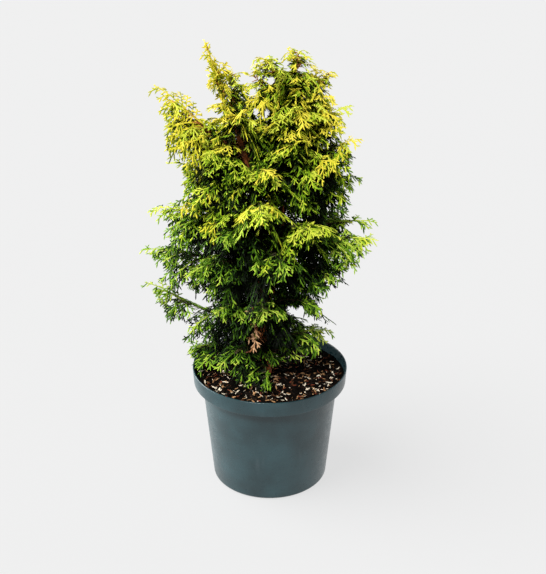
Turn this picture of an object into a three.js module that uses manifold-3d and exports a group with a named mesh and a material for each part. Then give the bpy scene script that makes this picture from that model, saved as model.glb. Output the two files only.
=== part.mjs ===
// A dwarf hinoki cypress in its nursery pot, in millimetres, with +Z up and the origin under the pot.
// A trunk and a second leader carry boughs, and each mass of foliage is one stem set with flat,
// drooping, toothed sprays. Every solid keeps clear of its neighbours by GAP.
import * as THREE from "three";
import { mergeVertices } from "three/addons/utils/BufferGeometryUtils.js";
import Module from "manifold-3d";

const wasm = await Module();
wasm.setup();

const { Vector3, CubicBezierCurve3, QuadraticBezierCurve3 } = THREE;
const UP = new Vector3(0, 0, 1);
const DOWN = new Vector3(0, 0, -1);

// ---- Driving dimensions -------------------------------------------------------------------

const GAP = 0.3; // left between solids that touch on the real plant
const MARGIN = GAP + 0.05; // the gap, and what a faceted limb falls short of its round one

const POT = {
  height: 150,
  rimRadius: 95, // outside of the collar's top edge
  collarHeight: 19,
  collarFootRadius: 93.8,
  shoulderRadius: 83.7, // outside of the wall, just under the collar
  footRadius: 71.7,
  footBevel: 2.5,
  wall: 1.7,
  floor: 2.4,
  sectors: 36,
};

const DRAIN = { count: 6, radius: 4.5, ring: 57, sides: 6 };

const SOIL = {
  top: 140,
  levelRadius: 20, // round the trunk's foot
  rings: [42, 68],
  fall: 2.5, // from the trunk to the pot's wall
  roughness: 1,
};

const TRUNK = {
  foot: new Vector3(-7, 2, SOIL.top - 4), // cut off level, GAP above the soil
  lower: new Vector3(-16, 6, 250),
  upper: new Vector3(-4, -4, 395),
  tip: new Vector3(-50, 0, 476),
  footRadius: 7.8,
  tipRadius: 1.9,
  flare: 4.2, // how far the root flare stands out at the soil
  flareHeight: 10,
  flareLobes: 3,
  lobeDepth: 0.35, // of the flare
  sides: 10,
  segments: 14,
};

const LEADER = {
  from: 214, // height on the trunk that the second leader forks from
  lower: new Vector3(26, 6, 290),
  upper: new Vector3(6, 8, 390),
  tip: new Vector3(27, 4, 474),
  rootRadius: 4.6,
  tipRadius: 1.7,
  sides: 8,
  segments: 12,
};

const BOUGH = { share: 0.26, radius: 3.0, taper: 0.62, sides: 6, segments: 5 };

const STEM = { radius: 1.9, tipRadius: 0.7, sides: 3, segments: 4 };

const SPRAY = {
  spacing: 10.5, // along the stem, from one spray to the next
  fewest: 4,
  most: 9,
  firstAt: 0.2, // share of the stem before the first spray
  lastAt: 0.92,
  swingAtRoot: 68, // degrees between stem and spray
  swingAtTip: 34,
  lean: [-62, 10], // degrees that a spray points below or above level, like the two slopes of a roof
  uprightLean: [-10, 10],
  lengths: [1.3, 0.95], // of the mass's width, at the stem's root and tip
  spread: [0.88, 1.12], // that a spray's own length varies by
  swingSpread: [-6, 6], // degrees
  endLength: 0.85, // of the mass's width, for the spray that carries on from the stem
  endShare: 0.6, // of the stem's length, that the end spray takes at most
  endSunk: 0.02, // share of the stem that the end spray's root is sunk by
  endSag: 0.25,
  endRoll: 34, // degrees that its front edge hangs
  uprightEndSag: 0.05,
  uprightRoll: 70,
  sag: [0.2, 0.5], // how far the tip of a spray hangs, as a share of its length
  fullness: 0.75, // of the spray's length; the half width comes to 0.42 of this at most
  keelAt: 0.45, // share of the length where the midrib is thickest
  thickness: 0.05, // of the spray's length, there
  cup: 0.35, // how far the edges hang, as a share of their width
  teeth: 2,
  firstTooth: 0.42,
  lastTooth: 0.76,
  notchAfter: 0.06,
  notch: 0.42, // width left between two teeth, as a share of theirs
  ridge: [0.18, 0.6], // shares of the length where the upper side's folds meet the midrib
  shorter: [1, 0.82, 0.66], // lengths that are tried before a spray is left out
};

const HANG = 0.3; // of a mass's width, that the middle of its space lies below its stem
const SHARED = 0.25; // of a mass's width, that it may reach past the middle between it and the next
const GOLDEN_ANGLE = 137.5;
const TREE_SEED = 11;

// Each tier shares the limb that it springs from, the height of its first stem there, the rise from
// one stem to the next, the arch of the stems, and the length of their sprays. A mass is
// [turn, reach, height] of its tip: degrees round the pot's axis, with 0 to the right and -90 to the
// front, and millimetres. What sets a mass apart from its tier follows in braces.
const TIERS = [
  {
    limb: "trunk", from: 440, rise: 8, arch: 6, width: 50, glow: 1.0,
    masses: {
      left_horn: [178, 127, 496, { from: 418, arch: -5, width: 66, bough: true }],
      top_left_front: [-116, 62, 484, { arch: 10, glow: 0.9 }],
      top_left_fan: [166, 44, 510, { width: 46, upright: true, glow: 0.8 }],
      top_back_left: [126, 66, 490, { from: 430, glow: 0.7 }],
      leader_spray: [180, 69, 543, { from: 474, width: 30, upright: true }],
    },
  },
  {
    limb: "leader", from: 428, rise: 7, arch: 8, width: 50, glow: 0.8,
    masses: {
      right_shoulder: [5, 92, 472, { width: 52, arch: 8 }],
      top_back_right: [66, 60, 492, {}],
      top_front_right: [-64, 58, 486, { arch: 14 }],
      dome_right: [4, 68, 508, { arch: 16, width: 54, upright: true }],
      top_middle: [-172, 20, 510, { upright: true, width: 50 }],
      dome_left: [-168, 4, 526, { from: 463, upright: true, width: 46 }],
      dome_top: [8, 32, 532, { from: 471, upright: true, width: 48 }],
    },
  },
  {
    limb: "trunk", from: 380, rise: 8, arch: 14, width: 54, glow: 0.7,
    masses: {
      left_side_upper: [-174, 116, 412, { arch: 12, width: 60 }],
      upper_back_left: [128, 98, 424, { glow: 0.5 }],
      upper_front_centre: [-88, 76, 418, { width: 60 }],
      upper_front_left: [-140, 92, 436, { width: 58 }],
    },
  },
  {
    limb: "leader", from: 372, rise: 9, arch: 12, width: 52, glow: 0.7,
    masses: {
      right_side_upper: [4, 106, 388, { arch: 16, glow: 0.5 }],
      upper_back_right: [54, 96, 430, { glow: 0.6 }],
      right_front_upper: [-36, 92, 424, { from: 400 }],
      right_horn: [-8, 102, 440, { from: 396, arch: 9, glow: 0.95 }],
      upper_front_right: [-64, 72, 452, { glow: 0.9 }],
    },
  },
  {
    limb: "trunk", from: 322, rise: 8, arch: 18, width: 58, glow: 0.5,
    masses: {
      left_tip_upper: [180, 136, 354, { arch: 15 }],
      left_front_ridge: [-120, 100, 346, { glow: 0.6 }],
      middle_back_left: [134, 112, 370, { glow: 0.3 }],
      mid_left_ridge: [-157, 106, 371, { glow: 0.8 }],
      centre_spray: [-94, 101, 374, { arch: 30, glow: 0.9 }],
    },
  },
  {
    limb: "leader", from: 296, rise: 10, arch: 18, width: 56, glow: 0.45,
    masses: {
      right_tip_lower: [-8, 127, 321, { width: 50, bough: true }],
      right_tip_upper: [2, 125, 335, { from: 322, arch: 12, width: 42 }],
      back_right_middle: [34, 114, 326, { glow: 0.2 }],
      front_right_ridge: [-60, 100, 354, { glow: 0.85 }],
      middle_back_right: [66, 110, 368, { glow: 0.3 }],
    },
  },
  {
    limb: "trunk", from: 252, rise: 9, arch: 24, width: 58, glow: 0.3,
    masses: {
      right_low: [-22, 104, 300, { from: 246, width: 44 }],
      left_tip_middle: [179, 151, 301, { width: 52, bough: true }],
      back_middle: [98, 118, 312, { glow: 0.15 }],
      left_front_middle: [-140, 112, 304, {}],
      back_left_middle: [146, 120, 312, { glow: 0.15 }],
      green_front: [-78, 101, 312, { arch: 34, glow: 0.4 }],
    },
  },
  {
    limb: "trunk", from: 202, rise: 8, arch: 26, width: 54, glow: 0.18,
    masses: {
      low_left: [-178, 148, 263, { from: 190, arch: -2, width: 46, bough: true }],
      back_right_low: [48, 102, 262, { glow: 0.1 }],
      left_front_low: [-130, 96, 254, {}],
      right_front_low: [-48, 88, 254, { width: 50 }],
      front_low: [-94, 90, 254, {}],
      back_left_low: [118, 106, 258, { glow: 0.1 }],
    },
  },
  {
    limb: "trunk", from: 154, rise: 6, arch: 20, width: 48, glow: 0.15,
    masses: {
      front_foot: [-92, 66, 151, { arch: 26, width: 42 }],
      low_left_skirt: [-170, 112, 180, { width: 54 }],
      front_right_foot: [-46, 68, 176, {}],
      low_right: [-4, 76, 198, {}],
      front_left_foot: [-134, 86, 178, {}],
      low_back_left: [132, 90, 188, {}],
      low_back_right: [62, 88, 190, {}],
      dead_spray: [-103, 60, 204, { from: 222, arch: 2, width: 30, dead: true }],
    },
  },
];

const COLOURS = {
  pot: 0x3c4750,
  soil: 0x2a1d15,
  bark: 0x6e4128,
  dead: 0xb06a35,
  gold: 0xcdbf2e,
  shade: 0x3c7322,
};

const between = (a, b, share) => a + (b - a) * share;
const radians = THREE.MathUtils.degToRad;

// ---- Solids -------------------------------------------------------------------------------

function solidFrom(geometry) {
  const bare = new THREE.BufferGeometry().setAttribute("position", geometry.getAttribute("position"));
  bare.setIndex(geometry.index);
  const merged = mergeVertices(bare, 1e-4);
  return new wasm.Manifold(
    new wasm.Mesh({
      numProp: 3,
      vertProperties: merged.attributes.position.array,
      triVerts: new Uint32Array(merged.index.array),
    }),
  );
}

function geometryFrom(solid) {
  const { vertProperties, triVerts } = solid.getMesh();
  const indexed = new THREE.BufferGeometry()
    .setAttribute("position", new THREE.BufferAttribute(vertProperties, 3))
    .setIndex(new THREE.BufferAttribute(triVerts, 1));
  const flat = indexed.toNonIndexed();
  flat.computeVertexNormals();
  return flat;
}

// The largest outer body of a solid: loose scraps and sealed hollows are dropped.
function mainBody(solid) {
  const bodies = solid.decompose();
  return bodies.reduce((best, body) => (body.volume() > best.volume() ? body : best));
}

function meshOf(name, solid, colour, roughness = 0.75) {
  const material = new THREE.MeshStandardMaterial({ color: colour, roughness, metalness: 0 });
  const mesh = new THREE.Mesh(geometryFrom(solid), material);
  mesh.name = name;
  return mesh;
}

// A closed tube along part of a curve, with a radius for each share of its length. It may reach a
// little past its end.
function taperedTube(curve, radiusAt, { sides, segments, start = 0, end = 1, past = 0 }) {
  const positions = [];
  const index = [];
  const across = new Vector3();
  for (let i = 0; i <= segments; i++) {
    const t = start + ((end - start) * i) / segments;
    const centre = curve.getPoint(t);
    const along = curve.getTangent(t);
    if (i === segments) centre.addScaledVector(along, past);
    if (i === 0) across.crossVectors(along, Math.abs(along.z) < 0.9 ? UP : new Vector3(0, 1, 0));
    across.addScaledVector(along, -across.dot(along)).normalize();
    const other = new Vector3().crossVectors(along, across);
    for (let k = 0; k < sides; k++) {
      const angle = (2 * Math.PI * k) / sides;
      const radius = radiusAt(t, angle);
      const point = centre
        .clone()
        .addScaledVector(across, radius * Math.cos(angle))
        .addScaledVector(other, radius * Math.sin(angle));
      positions.push(...point);
    }
  }
  const ring = (i, k) => i * sides + (k % sides);
  for (let i = 0; i < segments; i++)
    for (let k = 0; k < sides; k++) {
      index.push(ring(i, k), ring(i, k + 1), ring(i + 1, k));
      index.push(ring(i, k + 1), ring(i + 1, k + 1), ring(i + 1, k));
    }
  for (let k = 1; k < sides - 1; k++) {
    index.push(ring(0, 0), ring(0, k + 1), ring(0, k));
    index.push(ring(segments, 0), ring(segments, k), ring(segments, k + 1));
  }
  const geometry = new THREE.BufferGeometry()
    .setAttribute("position", new THREE.Float32BufferAttribute(positions, 3))
    .setIndex(index);
  return solidFrom(geometry);
}

// Numbers from 0 to 1 that repeat for the same seed.
function seeded(seed) {
  let state = seed >>> 0;
  return () => {
    state = (Math.imul(state, 1664525) + 1013904223) >>> 0;
    return state / 4294967296;
  };
}

// ---- Pot and soil -------------------------------------------------------------------------

// The inside of the pot, from the floor's edge to the top edge, as [radius, height].
function potInside() {
  const { height, collarHeight, rimRadius, collarFootRadius, shoulderRadius, footRadius, wall, floor } = POT;
  const shoulder = height - collarHeight;
  return [
    [footRadius - wall, floor],
    [shoulderRadius - wall, shoulder + wall],
    [collarFootRadius - wall, shoulder + wall + 0.8],
    [rimRadius - wall, height - 0.6],
  ];
}

function makePot() {
  const { height, collarHeight, rimRadius, collarFootRadius, shoulderRadius, footRadius, footBevel } = POT;
  const shoulder = height - collarHeight;
  const outside = [
    [0, 0],
    [footRadius - footBevel, 0],
    [footRadius, footBevel],
    [shoulderRadius, shoulder],
    [collarFootRadius, shoulder],
    [rimRadius, height - 1],
    [rimRadius - 0.8, height],
  ];
  const profile = [...outside, ...potInside().reverse(), [0, POT.floor]];
  const lathe = new THREE.LatheGeometry(
    profile.map(([r, z]) => new THREE.Vector2(r, z)),
    POT.sectors,
  );
  let pot = solidFrom(lathe.rotateX(Math.PI / 2));
  for (let i = 0; i < DRAIN.count; i++) {
    const turn = (2 * Math.PI * i) / DRAIN.count;
    const drill = new THREE.CylinderGeometry(DRAIN.radius, DRAIN.radius, 4 * POT.floor, DRAIN.sides);
    drill.rotateX(Math.PI / 2).translate(DRAIN.ring * Math.cos(turn), DRAIN.ring * Math.sin(turn), 0);
    pot = pot.subtract(solidFrom(drill));
  }
  return meshOf("pot", pot, COLOURS.pot, 0.42);
}

// Potting soil fills the pot and falls from the trunk to the wall, with a rough top that stays level
// round the trunk's foot.
function makeSoil() {
  const [foot, shoulder, collar] = potInside().map(([r, z]) => [r - MARGIN, z + GAP]);
  const profile = [
    [0, POT.floor + GAP],
    foot,
    shoulder,
    collar,
    [collar[0], SOIL.top],
    ...[...SOIL.rings].reverse().map((r) => [r, SOIL.top]),
    [SOIL.levelRadius, SOIL.top],
    [0, SOIL.top],
  ];
  const lathe = new THREE.LatheGeometry(
    profile.map(([r, z]) => new THREE.Vector2(r, z)),
    POT.sectors,
  ).rotateX(Math.PI / 2);
  const points = lathe.getAttribute("position");
  for (let i = 0; i < points.count; i++) {
    const [x, y, z] = [points.getX(i), points.getY(i), points.getZ(i)];
    const out = Math.hypot(x, y) - SOIL.levelRadius;
    if (z < SOIL.top - GAP || out < 1) continue;
    const turn = Math.atan2(y, x);
    const bump = SOIL.roughness * Math.sin(5 * turn + out / 9) * Math.cos(3 * turn - out / 5);
    points.setZ(i, z + bump - (SOIL.fall * out) / (collar[0] - SOIL.levelRadius));
  }
  return meshOf("potting_soil", solidFrom(lathe), COLOURS.soil, 0.95);
}

// ---- Trunk, second leader and boughs ------------------------------------------------------

function trunkRadius(t, angle) {
  const height = t * (TRUNK.tip.z - TRUNK.foot.z);
  const lobes = 1 + TRUNK.lobeDepth * Math.cos(TRUNK.flareLobes * angle);
  const flare = TRUNK.flare * lobes * Math.exp(-height / TRUNK.flareHeight);
  return between(TRUNK.footRadius, TRUNK.tipRadius, t) + flare;
}

const trunkCurve = new CubicBezierCurve3(TRUNK.foot, TRUNK.lower, TRUNK.upper, TRUNK.tip);

// The share of a rising curve at which it reaches a height.
function shareAtHeight(curve, height) {
  let [low, high] = [0, 1];
  for (let i = 0; i < 30; i++) {
    const middle = (low + high) / 2;
    if (curve.getPoint(middle).z < height) low = middle;
    else high = middle;
  }
  return low;
}

const fork = trunkCurve.getPoint(shareAtHeight(trunkCurve, LEADER.from));
const leaderCurve = new CubicBezierCurve3(fork, LEADER.lower, LEADER.upper, LEADER.tip);
const leaderRadius = (t) => between(LEADER.rootRadius, LEADER.tipRadius, t);

// A limb is a curve with a radius; grown by GAP, it is what its neighbours are cut clear of.
function limbOf(curve, radiusAt, shape) {
  return {
    curve,
    solid: taperedTube(curve, radiusAt, shape),
    grown: taperedTube(curve, (t, angle) => radiusAt(t, angle) + MARGIN, { ...shape, past: MARGIN }),
  };
}

const belowGround = new THREE.BoxGeometry(80, 80, 40).translate(0, 0, SOIL.top + GAP - 20);
const trunk = limbOf(trunkCurve, trunkRadius, TRUNK);
trunk.solid = trunk.solid.subtract(solidFrom(belowGround));
const leader = limbOf(leaderCurve, leaderRadius, LEADER);
leader.solid = mainBody(leader.solid.subtract(trunk.grown));
const limbs = { trunk, leader };

// ---- Masses of foliage --------------------------------------------------------------------

const polar = (turn, reach, height) =>
  new Vector3(reach * Math.cos(radians(turn)), reach * Math.sin(radians(turn)), height);

// Every mass with its tier's values filled in, and the curve of its stem from limb to tip.
function planMasses() {
  const planned = [];
  for (const tier of TIERS)
    Object.entries(tier.masses).forEach(([name, [turn, reach, height, own]], i) => {
      const mass = { ...tier, from: tier.from + i * tier.rise, name, turn, ...own };
      const { curve } = limbs[mass.limb];
      const root = curve.getPoint(shareAtHeight(curve, mass.from));
      const tip = polar(turn, reach, height);
      const middle = root.clone().lerp(tip, 0.5).addScaledVector(UP, mass.arch);
      mass.stem = new QuadraticBezierCurve3(root, middle, tip);
      const endShare = (SPRAY.endLength * mass.width) / mass.stem.getLength();
      mass.stemEnd = 1 - Math.min(SPRAY.endShare, endShare);
      mass.track = mass.stem.getPoints(10);
      if (!mass.upright) mass.track.forEach((point) => point.addScaledVector(DOWN, HANG * mass.width));
      mass.seed = TREE_SEED + 101 * (planned.length + 1);
      planned.push(mass);
    });
  return planned;
}

const line = new THREE.Line3();
const nearest = new Vector3();

// Distance from a point to a mass's stem, as a share of the mass's width.
function awayFrom(mass, point) {
  let least = Infinity;
  for (let i = 1; i < mass.track.length; i++) {
    line.set(mass.track[i - 1], mass.track[i]).closestPointToPoint(point, true, nearest);
    least = Math.min(least, nearest.distanceTo(point));
  }
  return least / mass.width;
}

function inOwnSpace(mass, masses, points) {
  return points.every((point) => {
    const own = awayFrom(mass, point) - SHARED;
    return masses.every((other) => other === mass || own < awayFrom(other, point));
  });
}

// The spray that carries on from the stem and ends at the mass's own tip, however much it hangs.
function endSpray(mass) {
  const root = mass.stem.getPoint(mass.stemEnd - SPRAY.endSunk);
  const hang = mass.upright ? SPRAY.uprightEndSag : SPRAY.endSag;
  const ahead = mass.stem.getPoint(1).sub(root);
  ahead.addScaledVector(UP, hang * ahead.length());
  const length = ahead.length();
  ahead.normalize();
  const sag = (root.z + ahead.z * length - mass.stem.getPoint(1).z) / length;
  const across = new Vector3().crossVectors(UP, ahead).normalize();
  const roll = (mass.upright ? SPRAY.uprightRoll : SPRAY.endRoll) * Math.sign(ahead.x);
  across.applyAxisAngle(ahead, radians(roll));
  return { root, ahead, across, length, sag, isEnd: true };
}

// Where the sprays along a stem start and how they lie, by turns on its left and right.
function spraysOf(mass) {
  const random = seeded(mass.seed);
  const { stem, width, upright } = mass;
  const wanted = Math.round((stem.getLength() * (1 - SPRAY.firstAt)) / SPRAY.spacing);
  const count = THREE.MathUtils.clamp(wanted, SPRAY.fewest, SPRAY.most);
  const sprays = [endSpray(mass)];
  for (let i = 0; i < count; i++) {
    const share = (i + 0.6 * random()) / count;
    const t = between(SPRAY.firstAt, SPRAY.lastAt, share) * mass.stemEnd;
    const along = stem.getTangent(t);
    const level = polar(mass.turn - 90, 1, 0);
    level.addScaledVector(along, -level.dot(along)).normalize();
    const above = new Vector3().crossVectors(level, along).normalize();
    const lean = between(...(upright ? SPRAY.uprightLean : SPRAY.lean), random());
    const round = radians(upright ? i * GOLDEN_ANGLE + lean : i % 2 ? lean : 180 - lean);
    const outward = level.clone().multiplyScalar(Math.cos(round)).addScaledVector(above, Math.sin(round));
    const strayed = between(...SPRAY.swingSpread, random());
    const swing = radians(between(SPRAY.swingAtRoot, SPRAY.swingAtTip, share) + strayed);
    const ahead = along.clone().multiplyScalar(Math.cos(swing)).addScaledVector(outward, Math.sin(swing));
    const normal = new Vector3().crossVectors(along, outward).normalize();
    if (normal.z < 0) normal.negate();
    const across = new Vector3().crossVectors(normal, ahead).normalize();
    const length = width * between(...SPRAY.lengths, share) * between(...SPRAY.spread, random());
    const sag = between(...SPRAY.sag, random());
    sprays.push({ root: stem.getPoint(t), ahead, across, length, sag });
  }
  return sprays;
}

// Half the width of a spray at a share of its length, drawn in at the root and pointed at the tip.
const sprayHalf = (spray, s) => spray.length * SPRAY.fullness * Math.sqrt(s) * Math.pow(1 - s, 0.8);

function sprayPoint(spray, s, sideways = 0) {
  const { root, ahead, across, length, sag } = spray;
  return root
    .clone()
    .addScaledVector(ahead, s * length)
    .addScaledVector(across, sideways)
    .addScaledVector(DOWN, sag * s * s * length + SPRAY.cup * Math.abs(sideways));
}

// A spray's outline on one side, from root to tip: a tooth and a notch for each of its branchlets.
function sprayEdge(spray, side) {
  const edge = [];
  for (let k = 0; k < SPRAY.teeth; k++) {
    const tooth = between(SPRAY.firstTooth, SPRAY.lastTooth, k / (SPRAY.teeth - 1));
    edge.push(sprayPoint(spray, tooth, side * sprayHalf(spray, tooth)));
    const notch = tooth + SPRAY.notchAfter;
    edge.push(sprayPoint(spray, notch, side * SPRAY.notch * sprayHalf(spray, notch)));
  }
  return edge;
}

// One toothed blade: a ridged upper side, and a lower side that meets in one keel point.
function makeSpray(spray) {
  const [root, tip] = [sprayPoint(spray, 0), sprayPoint(spray, 1)];
  const ridge = SPRAY.ridge.map((s) => sprayPoint(spray, s));
  const under = new Vector3().crossVectors(spray.across, spray.ahead).normalize();
  const keel = sprayPoint(spray, SPRAY.keelAt).addScaledVector(under, SPRAY.thickness * spray.length);
  const positions = [];
  for (const side of [1, -1]) {
    const edge = sprayEdge(spray, side);
    const outline = [root, ...edge, tip];
    const face = (a, b, c) => positions.push(...(side > 0 ? [a, b, c] : [a, c, b]).flatMap((p) => [...p]));
    face(ridge[0], edge[0], root);
    ridge.forEach((here, k) => {
      const next = ridge[k + 1];
      face(here, edge[2 * k + 1], edge[2 * k]);
      if (next) face(here, next, edge[2 * k + 1]);
      face(next ?? here, next ? edge[2 * k + 2] : tip, edge[2 * k + 1]);
    });
    for (let i = 1; i < outline.length; i++) face(keel, outline[i - 1], outline[i]);
  }
  const geometry = new THREE.BufferGeometry();
  geometry.setAttribute("position", new THREE.Float32BufferAttribute(positions, 3));
  return solidFrom(geometry);
}

function boxesMeet(a, b) {
  const [p, q] = [a.boundingBox(), b.boundingBox()];
  return [0, 1, 2].every((i) => p.min[i] <= q.max[i] && q.min[i] <= p.max[i]);
}

const touches = (a, b) => boxesMeet(a, b) && !a.intersect(b).isEmpty();

const clearOfTrunks = (solid) => mainBody(solid.subtract(trunk.grown).subtract(leader.grown));

const masses = planMasses();

// A bough is the first part of its mass's curve, and the stem is the rest, as far as the end spray.
const boughs = masses
  .filter((mass) => mass.bough)
  .map((mass) => {
    mass.stemStart = BOUGH.share + GAP / mass.stem.getLength();
    const radiusAt = (t) => BOUGH.radius * between(1, BOUGH.taper, t / BOUGH.share);
    const bough = limbOf(mass.stem, radiusAt, { ...BOUGH, end: BOUGH.share });
    return { ...bough, name: `${mass.name}_bough`, solid: clearOfTrunks(bough.solid) };
  });

for (const mass of masses) {
  const radiusAt = (t) => between(STEM.radius, STEM.tipRadius, t);
  const shape = { ...STEM, start: mass.stemStart ?? 0, end: mass.stemEnd };
  mass.stemSolid = clearOfTrunks(taperedTube(mass.stem, radiusAt, shape));
}

const limbsGrown = [trunk, leader, ...boughs].map((limb) => limb.grown);
const placed = masses.map((mass) => ({ mass, solid: mass.stemSolid }));

// Sprays hang clear of the soil, and of the pot's rim where they reach out over it.
function clearOfPot(point) {
  const overRim = Math.hypot(point.x, point.y) > POT.rimRadius - 7;
  return point.z > (overRim ? POT.height + 2 : SOIL.top + 1.5);
}

function sprayFits(mass, spray, solid) {
  const teeth = [1, -1].flatMap((side) => sprayEdge(spray, side).filter((_, i) => i % 2 === 0));
  const samples = [...teeth, sprayPoint(spray, 0.5), sprayPoint(spray, 1)];
  if (!samples.every(clearOfPot)) return false;
  if (!spray.isEnd && !inOwnSpace(mass, masses, samples)) return false;
  if (limbsGrown.some((limb) => touches(limb, solid))) return false;
  return !placed.some((other) => other.mass !== mass && touches(other.solid, solid));
}

// The stem with every spray that fits fused on, at the longest of the lengths that are tried.
function growMass(mass) {
  let solid = mass.stemSolid;
  for (const spray of spraysOf(mass))
    for (const shorter of SPRAY.shorter) {
      const tried = { ...spray, length: spray.length * shorter };
      const blade = makeSpray(tried);
      if (!sprayFits(mass, tried, blade)) continue;
      placed.push({ mass, solid: blade });
      solid = solid.add(blade);
      break;
    }
  const green = new THREE.Color(COLOURS.shade).lerp(new THREE.Color(COLOURS.gold), mass.glow);
  return meshOf(mass.name, mainBody(solid), mass.dead ? COLOURS.dead : green);
}

const plant = new THREE.Group();
plant.add(makePot(), makeSoil());
plant.add(meshOf("trunk", trunk.solid, COLOURS.bark), meshOf("second_leader", leader.solid, COLOURS.bark));
plant.add(...boughs.map(({ name, solid }) => meshOf(name, solid, COLOURS.bark)), ...masses.map(growMass));

export default plant;
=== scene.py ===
# %% [markdown]
# # A dwarf hinoki cypress in its nursery pot
# A young conifer, 400 mm tall above its soil, stands in a three-litre plastic pot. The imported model
# is the frame: each piece here lies where its solid lies and takes its place. The foliage grows by
# the same seeded rule as the solids do, and goes on to finer twigs than they have.

import json
import math

import bmesh
import bpy
import numpy as np
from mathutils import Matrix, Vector, noise


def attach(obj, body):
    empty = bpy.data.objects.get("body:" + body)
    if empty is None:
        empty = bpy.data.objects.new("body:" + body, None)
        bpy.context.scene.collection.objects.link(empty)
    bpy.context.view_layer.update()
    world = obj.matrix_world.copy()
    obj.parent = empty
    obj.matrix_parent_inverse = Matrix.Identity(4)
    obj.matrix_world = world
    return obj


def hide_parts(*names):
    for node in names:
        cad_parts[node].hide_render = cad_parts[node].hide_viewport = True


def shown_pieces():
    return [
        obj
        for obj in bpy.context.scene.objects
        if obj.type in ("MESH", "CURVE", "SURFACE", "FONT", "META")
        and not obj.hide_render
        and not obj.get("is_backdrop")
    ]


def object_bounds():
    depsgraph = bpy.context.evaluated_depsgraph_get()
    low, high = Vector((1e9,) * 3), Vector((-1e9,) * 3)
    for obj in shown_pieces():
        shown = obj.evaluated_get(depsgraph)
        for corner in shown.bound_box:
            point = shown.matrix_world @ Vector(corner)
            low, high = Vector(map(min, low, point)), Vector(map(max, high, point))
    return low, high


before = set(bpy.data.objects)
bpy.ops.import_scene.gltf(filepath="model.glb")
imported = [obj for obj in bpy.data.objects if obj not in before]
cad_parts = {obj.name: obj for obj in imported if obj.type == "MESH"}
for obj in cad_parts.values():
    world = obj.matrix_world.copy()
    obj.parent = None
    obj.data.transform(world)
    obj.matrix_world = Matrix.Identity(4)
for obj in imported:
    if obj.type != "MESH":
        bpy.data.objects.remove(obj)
cad_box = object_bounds()
scene = bpy.context.scene
MM = 0.001
UP = np.array([0.0, 0.0, 1.0])
print("solids:", len(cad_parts))


# %% [markdown]
# ## Helpers for materials, node trees and meshes
# Colours are chosen as they look on a screen, in sRGB hex, while Blender calculates with light, so
# one function turns the first into the second. Another adds a node with its settings and links:
# node trees written with it read from top to bottom, as a recipe does. Most shapes here are rings
# of points joined by faces, so two small functions draw a ring and join successive ones.


# %% Helpers
def linear(hex_colour):
    """The linear RGBA of an sRGB colour such as "#3F4A52"."""
    srgb = [int(hex_colour[i : i + 2], 16) / 255 for i in (1, 3, 5)]
    return [c / 12.92 if c <= 0.04045 else ((c + 0.055) / 1.055) ** 2.4 for c in srgb] + [1.0]


def outlet(source):
    """A socket as it is, or the first output of a node."""
    return source.outputs[0] if hasattr(source, "outputs") else source


def add_node(tree, kind, settings=None, links=None):
    """Adds a node. Settings are its inputs or its properties, and links lead nodes into it."""
    node = tree.nodes.new(kind)
    for key, value in (settings or {}).items():
        if isinstance(key, int) or key in node.inputs:
            node.inputs[key].default_value = value
        else:
            setattr(node, key, value)
    for key, source in (links or {}).items():
        tree.links.new(outlet(source), node.inputs[key])
    return node


def new_material(name, **settings):
    """A material with one Principled shader. Settings are the shader's inputs."""
    material = bpy.data.materials.new(name)
    material.use_nodes = True
    inputs = material.node_tree.nodes["Principled BSDF"].inputs
    for key, value in settings.items():
        inputs[key.replace("_", " ")].default_value = value
    material.diffuse_color = inputs["Base Color"].default_value
    return material


def lead_in(material, **links):
    """Leads nodes into the inputs of a material's shader."""
    tree = material.node_tree
    for key, source in links.items():
        shader_input = tree.nodes["Principled BSDF"].inputs[key.replace("_", " ")]
        tree.links.new(outlet(source), shader_input)


def new_object(name, data):
    """An object at the origin, linked into the scene."""
    made = bpy.data.objects.new(name, data)
    scene.collection.objects.link(made)
    return made


def new_mesh(name, vertices, faces, smooth=True):
    """A mesh object from vertices in millimetres and faces as lists of indices."""
    mesh = bpy.data.meshes.new(name)
    mesh.from_pydata((np.asarray(vertices, float) * MM).tolist(), [], faces)
    mesh.polygons.foreach_set("use_smooth", [smooth] * len(mesh.polygons))
    mesh.update()
    return new_object(name, mesh)


def baked(piece):
    """A piece's mesh as its modifiers leave it."""
    evaluated = piece.evaluated_get(bpy.context.evaluated_depsgraph_get())
    return bpy.data.meshes.new_from_object(evaluated)


def apply_modifiers(piece):
    """Turns a piece's modifiers into plain mesh."""
    mesh = baked(piece)
    piece.modifiers.clear()
    piece.data = mesh


def circle(sides):
    """Points on a circle of radius 1."""
    turns = [2 * math.pi * k / sides for k in range(sides)]
    return [(math.cos(turn), math.sin(turn)) for turn in turns]


def bands(count, sides, first=0):
    """Faces that join successive rings of vertices, of which the first has this index."""
    faces = []
    for start in range(first, first + count * sides, sides):
        for k in range(sides):
            a, b = start + k, start + (k + 1) % sides
            faces.append((a, b, b + sides, a + sides))
    return faces


def between(low, high, share):
    """The value at a share of the way from low to high."""
    return low + (high - low) * share


def unit(vector):
    """A vector, or each row of vectors, at length 1."""
    return vector / np.linalg.norm(vector, axis=-1, keepdims=True)


def polar(turn, reach, height):
    """The point at a turn in degrees round the pot's axis, a reach from it and a height."""
    angle = math.radians(turn)
    return np.array((reach * math.cos(angle), reach * math.sin(angle), height))


# %% [markdown]
# ## Camera, floor and light
# A studio picture of a plant is taken from a little above, with a lens long enough to keep its
# lines straight. The floor is pale and runs out of the picture. A broad lamp from the upper left
# models the sprays, a softbox on each side draws a long highlight on the pot's edge, and a pale sky
# fills the rest. A studio lights a plant and its backdrop apart, and light linking does the same
# here: those lamps leave out the floor, and a broad lamp of its own keeps it evenly pale, with one
# soft shadow beside the pot.

# %% Camera, floor and light
LENS, EYE, TILT = 64.5, (0.004, -1.121, 0.756), 24.1
FLOOR_REACH = 20000

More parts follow.
